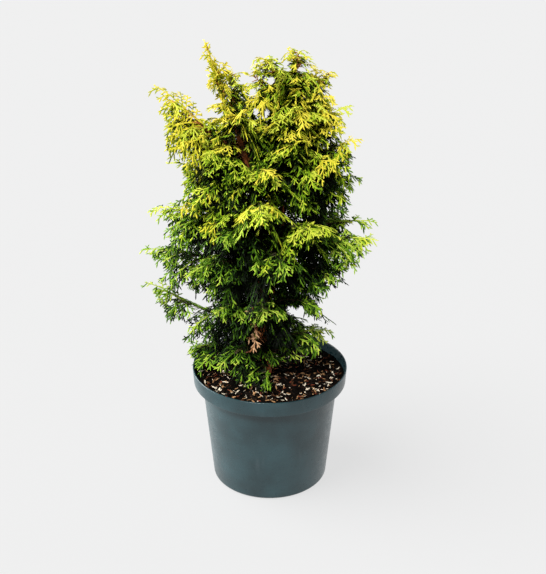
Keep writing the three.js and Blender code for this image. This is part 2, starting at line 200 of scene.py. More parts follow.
scene.view_settings.view_transform = "Standard"
camera = new_object("camera", bpy.data.cameras.new("camera"))
camera.data.lens = LENS
camera.location = EYE
camera.rotation_euler = (math.radians(90 - TILT), 0, 0)
scene.camera = camera

scene.world = bpy.data.worlds.new("pale studio")
scene.world.use_nodes = True
sky = scene.world.node_tree.nodes["Background"].inputs
sky["Color"].default_value, sky["Strength"].default_value = linear("#F4F6F8"), 0.22

corners = [(x * FLOOR_REACH, y * FLOOR_REACH, 0) for x, y in ((-1, -1), (1, -1), (1, 1), (-1, 1))]
floor = new_mesh("floor", corners, [(0, 1, 2, 3)])
paper = new_material(
    "floor paper",
    Base_Color=linear("#6C6C6C"),
    Roughness=0.9,
    Specular_IOR_Level=0.1,
    Emission_Color=linear("#FFFFFF"),
    Emission_Strength=0.70,
)
floor.data.materials.append(paper)
floor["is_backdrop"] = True


def add_lamp(name, kind, strength, place, aim, **settings):
    """A lamp at a place, in metres, turned towards another."""
    lamp = new_object(name, bpy.data.lights.new(name, kind))
    lamp.data.energy = strength
    for key, value in settings.items():
        setattr(lamp.data, key, value)
    x, y, z = np.subtract(aim, place)
    lamp.location = place
    lamp.rotation_euler = (math.atan2(math.hypot(x, y), -z), 0, math.atan2(y, x) - math.pi / 2)
    return lamp


def linked_floor(state):
    """A collection for light linking that lights the floor alone (INCLUDE) or leaves it out."""
    linked = bpy.data.collections.new(f"floor, {state.lower()}")
    linked.objects.link(floor)
    linked.collection_objects[0].light_linking.link_state = state
    return linked


SOFTBOX = dict(kind="AREA", aim=(0, 0, 0.2), shape="RECTANGLE", size_y=1.1)
plant_lamps = [
    add_lamp("key", "SUN", 3.6, (-0.7, -1.5, 2.3), (0, 0, 0.3), angle=math.radians(12)),
    add_lamp("left softbox", strength=36.0, place=(-1.1, 0.35, 0.45), size=0.9, **SOFTBOX),
    add_lamp("right softbox", strength=5.0, place=(1.1, 0.6, 0.45), size=0.5, **SOFTBOX),
]
all_but_the_floor = linked_floor("EXCLUDE")
for lamp in plant_lamps:
    lamp.light_linking.receiver_collection = all_but_the_floor
floor_lamp = add_lamp(
    "floor lamp", "SUN", 3.2, (-1.0, -0.25, 1.9), (0, 0, 0), angle=math.radians(50)
)
floor_lamp.light_linking.receiver_collection = linked_floor("INCLUDE")
print("camera at", tuple(camera.location))

# %% [markdown]
# ## The pot
# Nursery pots are injection moulded from recycled polypropylene: a thin wall that widens upwards, a
# deep collar that stiffens the rim, and holes in the foot for drainage. Such a shape is one profile
# turned round an axis, so a Screw modifier makes it from a drawn half section, with small radii
# where the mould has them.

# %% Pot
POT = dict(height=150, rim=95, collar=19, collar_foot=93.8, shoulder=83.7, foot=71.7)
POT |= dict(bevel=2.5, wall=1.7, floor=2.4, corner=0.8, sides=144)
DRAIN = dict(count=6, radius=4.5, ring=57, sides=24)
STEP = POT["height"] - POT["collar"]  # the height of the step under the collar
STEP_INSIDE = STEP + 2.5  # the height of the same step inside


def rounded(profile, radius, steps=3):
    """A profile of (radius, height) points whose corners are turned into small arcs."""
    points = [np.array(p, float) for p in profile]
    out = [points[0]]
    for before, corner, after in zip(points, points[1:], points[2:]):
        a, b = before - corner, after - corner
        cut = min(radius, 0.45 * np.linalg.norm(a), 0.45 * np.linalg.norm(b))
        start, end = corner + unit(a) * cut, corner + unit(b) * cut
        for t in np.arange(steps + 1) / steps:
            out.append((1 - t) ** 2 * start + 2 * t * (1 - t) * corner + t**2 * end)
    return out + [points[-1]]


def pot_profile():
    """The half section of the pot, from the middle of its foot outside to that of its floor."""
    foot, shoulder, collar_foot, rim, wall, bevel = (
        POT[key] for key in ("foot", "shoulder", "collar_foot", "rim", "wall", "bevel")
    )
    outside = [(0, 0.6), (foot - 9, 0.6), (foot - 8, 0), (foot - bevel, 0), (foot, bevel)]
    outside += [(shoulder, STEP), (collar_foot, STEP), (rim, POT["height"])]
    inside = [(rim - wall, POT["height"]), (collar_foot - wall, STEP_INSIDE)]
    inside += [(shoulder - wall, STEP + wall), (foot - wall, POT["floor"])]
    return rounded(outside + inside + [(0, POT["floor"])], POT["corner"])


profile = pot_profile()
pot = new_mesh("pot_body", [(r, 0, z) for r, z in profile], [])
pot.data.edges.add(len(profile) - 1)
pot.data.edges.foreach_set("vertices", [k for i in range(len(profile) - 1) for k in (i, i + 1)])
spin = pot.modifiers.new("turn", "SCREW")
spin.steps = spin.render_steps = POT["sides"]
spin.use_merge_vertices = spin.use_normal_calculate = True
spin.merge_threshold = 0.01 * MM
apply_modifiers(pot)
print("pot faces:", len(pot.data.polygons))


# %% Drainage holes
def recalculate_normals(piece):
    """Turns every face of a closed mesh outwards."""
    work = bmesh.new()
    work.from_mesh(piece.data)
    bmesh.ops.remove_doubles(work, verts=work.verts, dist=0.005 * MM)
    bmesh.ops.recalc_face_normals(work, faces=work.faces)
    work.to_mesh(piece.data)
    work.free()


recalculate_normals(pot)
# The drills are upright prisms that reach through the floor.
sides = DRAIN["sides"]
prism_faces = [tuple(reversed(range(sides))), tuple(range(sides, 2 * sides)), *bands(1, sides)]
drill_vertices, drill_faces = [], []
for hole in circle(DRAIN["count"]):
    drill_faces += [tuple(len(drill_vertices) + i for i in face) for face in prism_faces]
    for height in (-3, 2 * POT["floor"]):
        for corner in circle(sides):
            place = [DRAIN["ring"] * a + DRAIN["radius"] * b for a, b in zip(hole, corner)]
            drill_vertices.append((*place, height))
drill = new_mesh("drill", drill_vertices, drill_faces, smooth=False)
cut = pot.modifiers.new("drainage", "BOOLEAN")
cut.operation, cut.object, cut.solver = "DIFFERENCE", drill, "EXACT"
apply_modifiers(pot)
bpy.data.objects.remove(drill)
pot.data.polygons.foreach_set("use_smooth", [True] * len(pot.data.polygons))
pot.data.set_sharp_from_angle(angle=math.radians(50))
print("pot faces with holes:", len(pot.data.polygons))

# %% [markdown]
# Polypropylene from a matt mould has a satin skin: a slight grain that spreads a highlight without
# hiding it. Recycled resin is never quite even, so two close shades drift into each other, and pots
# that are stacked and carried get pale rub marks, mostly on the wall.


# %% Pot plastic
def object_noise(tree, size, detail=2.0, stretch=(1, 1, 1)):
    """Noise on Object coordinates whose blotches are about this size in mm."""
    place = add_node(tree, "ShaderNodeTexCoord").outputs["Object"]
    scaled = add_node(tree, "ShaderNodeMapping", {"Scale": stretch}, {"Vector": place})
    settings = {"Scale": 1 / (size * MM), "Detail": detail}
    return add_node(tree, "ShaderNodeTexNoise", settings, {"Vector": scaled})


def spread(tree, value, low, high, to_low=0.0, to_high=1.0):
    """A value whose range from low to high is stretched over another, and held inside it."""
    settings = {1: low, 2: high, 3: to_low, 4: to_high, "clamp": True}
    return add_node(tree, "ShaderNodeMapRange", settings, {0: value})


def mix_colours(tree, factor, first, second):
    """Goes from the first colour to the second. Either is a hex colour or a socket."""
    mix = add_node(tree, "ShaderNodeMix", {"data_type": "RGBA"}, {0: factor})
    for index, colour in ((6, first), (7, second)):
        if isinstance(colour, str):
            mix.inputs[index].default_value = linear(colour)
        else:
            tree.links.new(colour, mix.inputs[index])
    return mix.outputs[2]


def relief(tree, strength, depth, height):
    """Bumps of a depth in mm where the height is great."""
    settings = {"Strength": strength, "Distance": depth * MM}
    return add_node(tree, "ShaderNodeBump", settings, {"Height": height})


plastic = new_material(
    "injection-moulded polypropylene", Base_Color=linear("#22363D"), Roughness=0.3, IOR=1.49
)
tree = plastic.node_tree
resin = spread(tree, object_noise(tree, 45, 3), 0.35, 0.65)
colour = mix_colours(tree, resin, "#1C3236", "#284449")
rubbed = spread(tree, object_noise(tree, 9, 4, (1, 1, 0.25)), 0.62, 0.80, 0, 0.22)
lead_in(
    plastic,
    Base_Color=mix_colours(tree, rubbed, colour, "#4E5D62"),
    Roughness=spread(tree, object_noise(tree, 6, 3), 0.3, 0.7, 0.24, 0.36),
    Normal=relief(tree, 0.25, 0.15, object_noise(tree, 0.8)),
)
pot.data.materials.clear()
pot.data.materials.append(plastic)

# %% [markdown]
# ## Potting soil
# Composted bark and peat fill the pot to a finger's breadth under the rim. The soil itself is a
# dark, crumbly ground: a turned solid whose top is roughened with noise.

# %% Soil ground
SOIL = dict(top=140, level=20, fall=2.5, crumb=1.5, sectors=180, rings=64)
LUMP, CRUMB, GRAIN = 14, 4, 1.8  # their sizes in mm


def inside_radius(height):
    """The inside radius of the pot at a height."""
    if height > STEP_INSIDE:
        share = (height - STEP_INSIDE) / (POT["height"] - STEP_INSIDE)
        return between(POT["collar_foot"], POT["rim"], share) - POT["wall"]
    share = (height - POT["floor"]) / (STEP - POT["floor"])
    return between(POT["foot"], POT["shoulder"], min(share, 1)) - POT["wall"]


def soil_height(x, y):
    """The height of the soil's crumbly top."""
    share = max(math.hypot(x, y) - SOIL["level"], 0) / (inside_radius(SOIL["top"]) - SOIL["level"])
    lumps = noise.noise(Vector((x / LUMP, y / LUMP, 1.3)))
    crumbs = noise.noise(Vector((x / CRUMB, y / CRUMB, 7.7)))
    crumbs += 0.5 * noise.noise(Vector((x / GRAIN, y / GRAIN, 3.1)))
    return SOIL["top"] - SOIL["fall"] * share + SOIL["crumb"] * (0.9 * lumps + 0.5 * crumbs)


def soil_ring(radius, height=None):
    """A ring of the soil's vertices, at a height or on its crumbly top."""
    ring = [(radius * c, radius * s) for c, s in circle(SOIL["sectors"])]
    return [(x, y, soil_height(x, y) if height is None else height) for x, y in ring]


edge = inside_radius(SOIL["top"]) - 0.3
vertices = [(0, 0, soil_height(0, 0))]
for ring in range(1, SOIL["rings"] + 1):
    vertices += soil_ring(edge * ring / SOIL["rings"])
for height in (STEP + 3, STEP - 2, POT["floor"] + 0.3):
    vertices += soil_ring(inside_radius(height) - 0.4, height)
faces = [(0, 1 + k, 1 + (k + 1) % SOIL["sectors"]) for k in range(SOIL["sectors"])]
# The rings go outwards and then down, so the faces between them are turned over.
faces += [(a, d, c, b) for a, b, c, d in bands(SOIL["rings"] + 2, SOIL["sectors"], first=1)]
faces.append(tuple(reversed(range(len(vertices) - SOIL["sectors"], len(vertices)))))
soil = new_mesh("potting_soil_ground", vertices, faces)

compost = new_material("composted bark and peat", Roughness=0.95, Specular_IOR_Level=0.03)
tree = compost.node_tree
damp = spread(tree, object_noise(tree, 5, 5), 0.35, 0.68)
lead_in(
    compost,
    Base_Color=mix_colours(tree, damp, "#040302", "#100B08"),
    Normal=relief(tree, 0.8, 0.8, object_noise(tree, 1.6, 4)),
)
soil.data.materials.append(compost)
print("soil faces:", len(soil.data.polygons))

# %% [markdown]
# Bark chips lie on the soil at random, so Geometry Nodes strew them: points are spread over the
# ground, each point gets a chip with its own turn and size, and every shade of bark is one such
# strewing with its own seed. A Geometry Nodes tree is made once and used many times: each modifier
# that runs it has its own values for the tree's named inputs. The helpers below make a tree with
# such inputs, end it with real mesh in one material, and run it on an object to make a piece.


# %% Helpers for Geometry Nodes
def new_tree(name, **inputs):
    """A Geometry Nodes tree with a geometry input and further named ones, and those inputs."""
    tree = bpy.data.node_groups.new(name, "GeometryNodeTree")
    for label, way, kind in (
        ("Geometry", "INPUT", "Geometry"),
        ("Geometry", "OUTPUT", "Geometry"),
        *((label, "INPUT", kind) for label, kind in inputs.items()),
    ):
        tree.interface.new_socket(label, in_out=way, socket_type="NodeSocket" + kind)
    return tree, tree.nodes.new("NodeGroupInput").outputs


def end_tree(tree, instances, material):
    """Makes instances real, gives them the material and leads them out of the tree."""
    real = add_node(tree, "GeometryNodeRealizeInstances", links={0: instances})
    links = {"Geometry": real, "Material": material}
    painted = add_node(tree, "GeometryNodeSetMaterial", links=links)
    add_node(tree, "NodeGroupOutput", links={0: painted})


def run_tree(name, start, tree, **values):
    """The piece that a tree makes of an object with those values for its inputs."""
    modifier = start.modifiers.new(tree.name, "NODES")
    modifier.node_group = tree
    for item in tree.interface.items_tree:
        if item.in_out == "INPUT" and item.name in values:
            modifier[item.identifier] = values[item.name]
    piece = new_object(name, baked(start))
    bpy.data.objects.remove(start)
    return piece


# %% The tree that strews chips
strew, wanted = new_tree(
    "strew chips",
    Chip="Object",
    Bark="Material",
    Number="Int",
    Smallest="Float",
    Largest="Float",
    Seed="Int",
)
spots = add_node(
    strew,
    "GeometryNodeDistributePointsOnFaces",
    {"distribute_method": "RANDOM"},
    {"Mesh": wanted["Geometry"], "Density": wanted["Number"], "Seed": wanted["Seed"]},
)
tumble = add_node(
    strew,
    "FunctionNodeRandomValue",
    {"data_type": "FLOAT_VECTOR", 0: (-0.55, -0.55, -math.pi), 1: (0.55, 0.55, math.pi)},
    {"Seed": wanted["Seed"]},
)
sizes = add_node(
    strew,
    "FunctionNodeRandomValue",
    {"data_type": "FLOAT"},
    {2: wanted["Smallest"], 3: wanted["Largest"], "Seed": wanted["Seed"]},
)
chip = add_node(strew, "GeometryNodeObjectInfo", links={"Object": wanted["Chip"]})
links = {"Instance": chip.outputs["Geometry"], "Rotation": tumble, "Scale": sizes.outputs[1]}
strewn = add_node(strew, "GeometryNodeInstanceOnPoints", links={"Points": spots, **links})
end_tree(strew, strewn, wanted["Bark"])


# %% Bark chips
CHIP_WIDTH, CHIP_THICKNESS = 0.24, 0.12  # as shares of its length
# The rings of a chip: where each lies along it and how full it is. Then the corners of a ring.
CHIP_RINGS = ((-0.5, 0.45), (-0.2, 0.95), (0.22, 1.0), (0.5, 0.35))
CHIP_CORNERS = ((-0.5, -0.35), (0.5, -0.45), (0.42, 0.5), (-0.38, 0.4))
# Each shade of bark: its colour, how many chips, and the length of the smallest and largest in mm.
BARK_SHADES = {
    "peat": ("#0B0806", 900, 1.8, 5.0),
    "dark": ("#160E09", 620, 3.0, 9.5),
    "brown": ("#52331F", 220, 3.0, 9.0),
    "red": ("#7A3B28", 120, 3.0, 9.0),
    "tan": ("#A88058", 215, 3.0, 10.0),
    "pale": ("#E8DAC0", 220, 3.0, 9.5),
}


def bark_chip(seed):
    """A splinter of bark, one unit long: four rough rings with closed ends."""
    dice = np.random.default_rng(seed)
    vertices = []
    for at, full in CHIP_RINGS:
        across = CHIP_WIDTH * full * dice.uniform(0.75, 1.15)
        lift = CHIP_THICKNESS * dice.uniform(-0.5, 0.5)
        for y, z in CHIP_CORNERS:
            shift = dice.uniform(-0.08, 0.08, 3) * (1.0, across, CHIP_THICKNESS)
            vertices.append(shift + (at, y * across, z * CHIP_THICKNESS + lift))
    faces = [(3, 2, 1, 0), (12, 13, 14, 15), *bands(len(CHIP_RINGS) - 1, len(CHIP_CORNERS))]
    return new_mesh("chip", np.array(vertices) / MM, faces, smooth=False)


# Chips keep clear of the wall, so that none pokes through it.
strewn_rings = SOIL["rings"] - 4
strewn_count = 1 + strewn_rings * SOIL["sectors"]
strewn_faces = [face for face in faces if max(face) < strewn_count]
ground_area = math.pi * (edge * strewn_rings / SOIL["rings"] * MM) ** 2
chip_pieces = []
for index, (shade, (colour, count, smallest, largest)) in enumerate(BARK_SHADES.items()):
    chip = bark_chip(40 + index)
    settings = dict(Base_Color=linear(colour), Roughness=0.85, Specular_IOR_Level=0.1)
    chip_pieces.append(
        run_tree(
            f"soil_chips_{shade}",
            new_mesh("ground", vertices[:strewn_count], strewn_faces),
            strew,
            Chip=chip,
            Bark=new_material(f"bark chip, {shade}", **settings),
            Number=round(count / ground_area),
            Smallest=smallest * MM,
            Largest=largest * MM,
            Seed=3 + index,
        )
    )
    bpy.data.objects.remove(chip)
print("chip faces:", sum(len(p.data.polygons) for p in chip_pieces))

# %% [markdown]
# ## Trunk and second leader
# Hinoki bark is red-brown and fibrous: it splits into long, thin strips that run with the limb.
# Each limb is a Bezier curve with a radius that tapers. Rings of points are laid along it, and
# every point is pushed in or out by noise that is stretched along the limb, so the strips are real
# relief. The curves are those of the solids, and the trunk flares where its roots part under the
# soil.

# %% Limb curves
# Points, heights and radii are in mm. The trunk is cut off just under the soil's surface.
TRUNK = dict(points=[(-7, 2, 136), (-16, 6, 250), (-4, -4, 395), (-50, 0, 476)], radii=(7.8, 1.9))
TRUNK |= dict(flare=4.2, flare_height=10, lobes=3, lobe_depth=0.35, cut=138.3, seed=1.0)
LEADER = dict(points=[(26, 6, 290), (6, 8, 390), (27, 4, 474)], radii=(4.6, 1.7))
LEADER |= dict(fork=214, seed=9.0)
BOUGH = dict(share=0.26, radius=3.0, taper=0.62, seed=20.0)


class Bezier:
    """A Bezier curve through three or more control points, in millimetres."""

    def __init__(self, *controls):
        self.controls = np.array(controls, float)
        steps = self.at(np.linspace(0, 1, 201))
        self.length = np.linalg.norm(np.diff(steps, axis=0), axis=1).sum()

    def at(self, t):
        """The point or points at the shares t."""
        points = [np.multiply.outer(np.ones_like(t), c) for c in self.controls]
        share = np.asarray(t)[..., None]
        while len(points) > 1:
            points = [a + (b - a) * share for a, b in zip(points, points[1:])]
        return points[0]

    def along(self, t):
        """The direction of growth at the share t."""
        return unit(self.at(min(t + 1e-4, 1.0)) - self.at(max(t - 1e-4, 0.0)))

    def share_at(self, height):
        """The share of a rising curve at which it reaches a height."""
        low, high = 0.0, 1.0
        for _ in range(30):
            middle = (low + high) / 2
            low, high = (middle, high) if self.at(middle)[2] < height else (low, middle)
        return low

    def at_height(self, height):
        """The point of a rising curve at a height."""
        return self.at(self.share_at(height))


def trunk_radius(t, angle):
    """The trunk's radius at a share of its length, with the flare of its three main roots."""
    height = t * (TRUNK["points"][-1][2] - TRUNK["points"][0][2])
    lobes = 1 + TRUNK["lobe_depth"] * math.cos(TRUNK["lobes"] * angle)
    flare = TRUNK["flare"] * lobes * math.exp(-height / TRUNK["flare_height"])
    return between(*TRUNK["radii"], t) + flare


def leader_radius(t, angle):
    """The second leader's radius at a share of its length."""
    return between(*LEADER["radii"], t)


def bough_radius(t, angle):
    """A bough's radius at a share of its mass's stem."""
    return BOUGH["radius"] * between(1, BOUGH["taper"], t / BOUGH["share"])


trunk_curve = Bezier(*TRUNK["points"])
leader_curve = Bezier(trunk_curve.at_height(LEADER["fork"]), *LEADER["points"])
print("trunk length:", round(trunk_curve.length), "mm, leader:", round(leader_curve.length), "mm")

# %% Bark material
bark = new_material("fibrous conifer bark", Roughness=0.85, Specular_IOR_Level=0.25)
tree = bark.node_tree
bark_map = add_node(tree, "ShaderNodeUVMap", {"uv_map": "bark"})
strips = add_node(tree, "ShaderNodeMapping", {"Scale": (0.5, 0.03, 1)}, {"Vector": bark_map})
fibres = add_node(tree, "ShaderNodeTexNoise", {"Scale": 1.0, "Detail": 5.0}, {"Vector": strips})
weathered = spread(tree, object_noise(tree, 22, 2), 0.45, 0.7)
colour = mix_colours(tree, spread(tree, fibres, 0.35, 0.62), "#6C3319", "#D2783E")
lead_in(
    bark,
    Base_Color=mix_colours(tree, weathered, colour, "#6B4A38"),
    Normal=relief(tree, 0.7, 0.3, fibres),
)

# %% Bark relief
FIBRE_WIDTH, FIBRE_LENGTH, THREAD_LENGTH, RELIEF = 2.2, 34.0, 9, 0.45
RING_STEP = 1.6  # along a limb


def bark_relief(angle, down, radius, seed):
    """How far the bark stands out, in mm: ridges a fibre wide that run far along the limb."""
    x, y = radius * math.cos(angle) / FIBRE_WIDTH, radius * math.sin(angle) / FIBRE_WIDTH
    strips = abs(noise.noise(Vector((x, y, seed + down / FIBRE_LENGTH))))
    threads = noise.noise(Vector((2.6 * x, 2.6 * y, seed + 5 + down / THREAD_LENGTH)))
    return RELIEF * min(1.0, radius / 4) * (1.6 * strips - 0.5 + 0.35 * threads)


def limb(name, curve, radius_at, sides, seed, start=0.0, end=1.0):
    """A limb's bark from one share of its curve to another, with closed ends and a bark map."""
    rings = max(6, round(curve.length * (end - start) / RING_STEP))
    across, vertices = None, []
    for i in range(rings + 1):
        t = between(start, end, i / rings)
        centre, along = curve.at(t), curve.along(t)
        if across is None:
            across = np.cross(along, UP if abs(along[2]) < 0.9 else (0.0, 1.0, 0.0))
        across = unit(across - along * (across @ along))
        other = np.cross(along, across)
        for k in range(sides):
            angle = 2 * math.pi * k / sides
            radius = radius_at(t, angle)
            radius += bark_relief(angle, t * curve.length, radius, seed)
            vertices.append(centre + radius * (across * math.cos(angle) + other * math.sin(angle)))
    faces = bands(rings, sides)
    vertices += [curve.at(start), curve.at(end)]
    last = rings * sides
    for k in range(sides):
        faces.append((len(vertices) - 2, (k + 1) % sides, k))
        faces.append((len(vertices) - 1, last + k, last + (k + 1) % sides))
    piece = new_mesh(name, vertices, faces)
    # The bark's own map: round the limb and along it, in mm.
    bark_map = piece.data.uv_layers.new(name="bark")
    girth = 2 * math.pi * radius_at((start + end) / 2, 0.5)
    for loop in piece.data.loops:
        ring, k = divmod(min(loop.vertex_index, last + sides - 1), sides)
        bark_map.data[loop.index].uv = (girth * k / sides, ring * RING_STEP)
    piece.data.materials.append(bark)
    return piece


trunk = limb(
    "trunk_bark",
    trunk_curve,
    trunk_radius,
    sides=36,
    seed=TRUNK["seed"],
    start=trunk_curve.share_at(TRUNK["cut"]),
)
leader = limb("second_leader_bark", leader_curve, leader_radius, sides=28, seed=LEADER["seed"])
print("trunk and leader faces:", len(trunk.data.polygons), len(leader.data.polygons))

# %% [markdown]
# ## The plan of the crown
# The crown is nine tiers of masses, and one dead spray. Each mass is one stem that springs from the
# trunk or the second leader at a given height and arches over to its tip, which is given by a turn
# round the pot, a reach and a height. Flat sprays grow from it left and right by a seeded rule,
# shorter towards the tip. The numbers below are the ones that the solids were made with, and so is
# the order of the random draws.

# %% Tiers and masses
TREE_SEED, GOLDEN_ANGLE = 11, 137.5
# Lengths are shares of the mass's width, angles are in degrees, and pairs go from limb to tip or
# from the least to the most.
SPRAY = dict(spacing=10.5, fewest=4, most=9, first_at=0.2, last_at=0.92, swings=(68, 34))
SPRAY |= dict(lean=(-62, 10), upright_lean=(-10, 10), lengths=(1.3, 0.95), spread=(0.88, 1.12))
SPRAY |= dict(stray=(-6, 6), sag=(0.2, 0.5), cup=0.35, fullness=0.75)
SPRAY |= dict(end_length=0.85, end_share=0.6, end_sunk=0.02, end_sag=0.25, upright_end_sag=0.05)
SPRAY |= dict(end_roll=34, upright_roll=70)

# Shares of a mass's width: how far its space hangs under its stem, and how much of it neighbours
# may share. Then what a mass is unless its tier's or its own line says otherwise.
HANG, SHARED = 0.3, 0.25
PLAIN = dict(arch=0, clear=0, gold=0, fans=18, over=-10)
PLAIN |= dict(upright=False, slim=False, domed=False, bough=False, dead=False)
# Each tier: its name, limb and finish, the height of its first stem on the limb, the rise to the
# next stem, the arch and the width in mm, and its glow, from deep green at 0 to gold at 1. Each
# mass: the turn in degrees, the reach and the height of its tip in mm, and what sets it apart.
TIERS = """
top_left trunk golden_foliage start=440 rise=8 arch=6 width=50 glow=1.0
    left_horn 178 127 496 start=418 arch=-5 width=66 bough=true fans=40
    top_left_front -116 62 484 arch=10 glow=0.9
    top_left_fan 166 44 510 width=46 upright=true glow=0.8 over=0
    top_back_left 126 66 490 start=430 glow=0.7
    leader_spray 180 69 543 start=474 width=30 upright=true slim=true over=3 glow=1.4
top_right leader golden_foliage start=428 rise=7 arch=8 width=50 glow=1.5 gold=-1.1
    right_shoulder 5 92 472 width=52 arch=8 glow=1.0 gold=-0.3
    top_back_right 66 60 492
    top_front_right -64 58 486 arch=14
    dome_right 4 68 508 arch=16 width=54 upright=true domed=true over=4
    top_middle -172 20 510 upright=true width=50 domed=true over=16
    dome_left -168 4 526 start=463 upright=true width=46 domed=true over=30
    dome_top 8 32 532 start=471 upright=true width=48 domed=true over=18
upper_left trunk lime_foliage start=380 rise=8 arch=14 width=54 glow=0.7
    left_side_upper -174 116 412 arch=12 width=60 glow=0.9
    upper_back_left 128 98 424 glow=0.5
    upper_front_centre -88 76 418 width=60
    upper_front_left -140 92 436 width=58
upper_right leader lime_foliage start=372 rise=9 arch=12 width=52 glow=0.7
    right_side_upper 4 106 388 arch=16 glow=0.5
    upper_back_right 54 96 430 glow=0.6
    right_front_upper -36 92 424 start=400
    right_horn -8 102 440 start=396 arch=9 glow=0.8
    upper_front_right -64 72 452 glow=0.7
middle_left trunk green_foliage start=322 rise=8 arch=18 width=58 glow=0.5
    left_tip_upper 180 136 354 arch=15
    left_front_ridge -120 100 346 glow=0.12
    middle_back_left 134 112 370 glow=0.3
    mid_left_ridge -157 106 371 glow=1.0
    centre_spray -94 101 374 arch=30 glow=0.75 gold=0.3
middle_right leader green_foliage start=296 rise=10 arch=18 width=56 glow=0.45
    right_tip_lower -8 127 321 width=50 bough=true
    right_tip_upper 2 125 335 start=322 arch=12 width=42
    back_right_middle 34 114 326 glow=0.2
    front_right_ridge -60 100 354 glow=0.85
    middle_back_right 66 110 368 glow=0.3
lower trunk green_foliage start=252 rise=9 arch=24 width=58 glow=0.4
    right_low -22 104 300 start=246 width=44
    left_tip_middle 179 151 301 width=52 bough=true
    back_middle 98 118 312 glow=0.15
    left_front_middle -140 112 304
    back_left_middle 146 120 312 glow=0.15
    green_front -78 101 312 arch=34 glow=0.3
low trunk deep_green_foliage start=202 rise=8 arch=26 width=54 glow=0.16
    low_left -178 148 263 start=190 arch=-2 width=46 bough=true glow=0.4
    back_right_low 48 102 262 glow=0.1
    left_front_low -130 96 254
    right_front_low -48 88 254 width=50 clear=200
    front_low -94 90 254 clear=204
    back_left_low 118 106 258 glow=0.1
foot trunk deep_green_foliage start=154 rise=6 arch=20 width=48 glow=0.06
    front_foot -92 66 151 arch=26 width=42 fans=8 glow=-0.2
    low_left_skirt -170 112 180 width=54 clear=166 glow=-0.05
    front_right_foot -46 68 176 clear=176
    low_right -4 76 198 clear=178 glow=0.3
    front_left_foot -134 86 178 clear=160 glow=-0.15
    low_back_left 132 90 188
    low_back_right 62 88 190
dead trunk dead_foliage start=222 rise=0 arch=2 width=30 glow=0.06
    dead_spray -103 60 204 dead=true
"""


def given(words):
    """The values that words such as width=50 give."""
    return {key: json.loads(value) for key, value in (word.split("=") for word in words)}


def plan_masses():
    """Every mass with its values filled in, its stem from limb to tip and its space's track."""
    curves, planned = dict(trunk=trunk_curve, leader=leader_curve), []
    for line in TIERS.strip().splitlines():
        name, *words = line.split()
        if not line.startswith(" "):
            tier = PLAIN | dict(tier=name, limb=words[0], slot=words[1]) | given(words[2:])
            continue
        turn, reach, height = (int(word) for word in words[:3])
        mass = tier | dict(name=name, turn=turn, reach=reach) | given(words[3:])
        tier["start"] += tier["rise"]
        limb_curve = curves[mass["limb"]]
        root, tip = limb_curve.at_height(mass["start"]), polar(turn, reach, height)
        stem = Bezier(root, (root + tip) / 2 + UP * mass["arch"], tip)
        shortened = min(SPRAY["end_share"], SPRAY["end_length"] * mass["width"] / stem.length)
        track = stem.at(np.linspace(0, 1, 11))
        if not mass["upright"]:
            track = track - UP * HANG * mass["width"]
        seed = TREE_SEED + 101 * (len(planned) + 1)
        mass |= dict(stem=stem, stem_end=1 - shortened, track=track, seed=seed)
        planned.append(mass | dict(limb_curve=limb_curve))
    return planned


masses, tiers = plan_masses(), {}
for mass in masses:
    tiers.setdefault(mass["tier"], []).append(mass)
print("masses:", len(masses), "in tiers:", len(tiers))

# %% Boughs
# Four stems are thick enough at their root to be limbs with bark of their own.
boughs = {}
for index, mass in enumerate(mass for mass in masses if mass["bough"]):
    name, seed = mass["name"] + "_bough", BOUGH["seed"] + index
    boughs[name] = limb(name + "_bark", mass["stem"], bough_radius, 20, seed, end=BOUGH["share"])
print("boughs:", list(boughs))


# %% [markdown]
# A spray has a root, a direction ahead, one across, a length and a sag. The rule that sets them is
# the solids' own, with the same dice. A spray that would stray into a neighbour's space, or into
# the soil or the pot, is shortened or left out. Where the sky or the trunk shows through a crown,
# it is because no spray grows there, so a list of gaps keeps those places open.


# %% The rule for sprays
MULTIPLIER, INCREMENT, MODULUS = 1664525, 1013904223, 2**32


def seeded(seed):
    """Numbers from 0 to 1 that repeat for the same seed."""
    state = seed
    while True:
        state = (state * MULTIPLIER + INCREMENT) % MODULUS
        yield state / MODULUS


def turned(vector, axis, angle):
    """The vector turned about a unit axis at right angles to it."""
    return vector * math.cos(angle) + np.cross(axis, vector) * math.sin(angle)


def end_spray(mass):
    """The spray that carries on from the stem and ends at the mass's own tip."""
    root, tip = mass["stem"].at(mass["stem_end"] - SPRAY["end_sunk"]), mass["stem"].at(1.0)
    hang = SPRAY["upright_end_sag" if mass["upright"] else "end_sag"]
    roll = SPRAY["upright_roll" if mass["upright"] else "end_roll"]
    ahead = tip - root
    ahead = ahead + UP * hang * np.linalg.norm(ahead)
    length = np.linalg.norm(ahead)
    ahead = ahead / length
    across = turned(unit(np.cross(UP, ahead)), ahead, math.radians(roll * np.sign(ahead[0])))
    spray = dict(root=root, ahead=ahead, across=across, length=length, at=1.0, free=True, end=True)
    return spray | dict(sag=(root[2] + ahead[2] * length - tip[2]) / length)


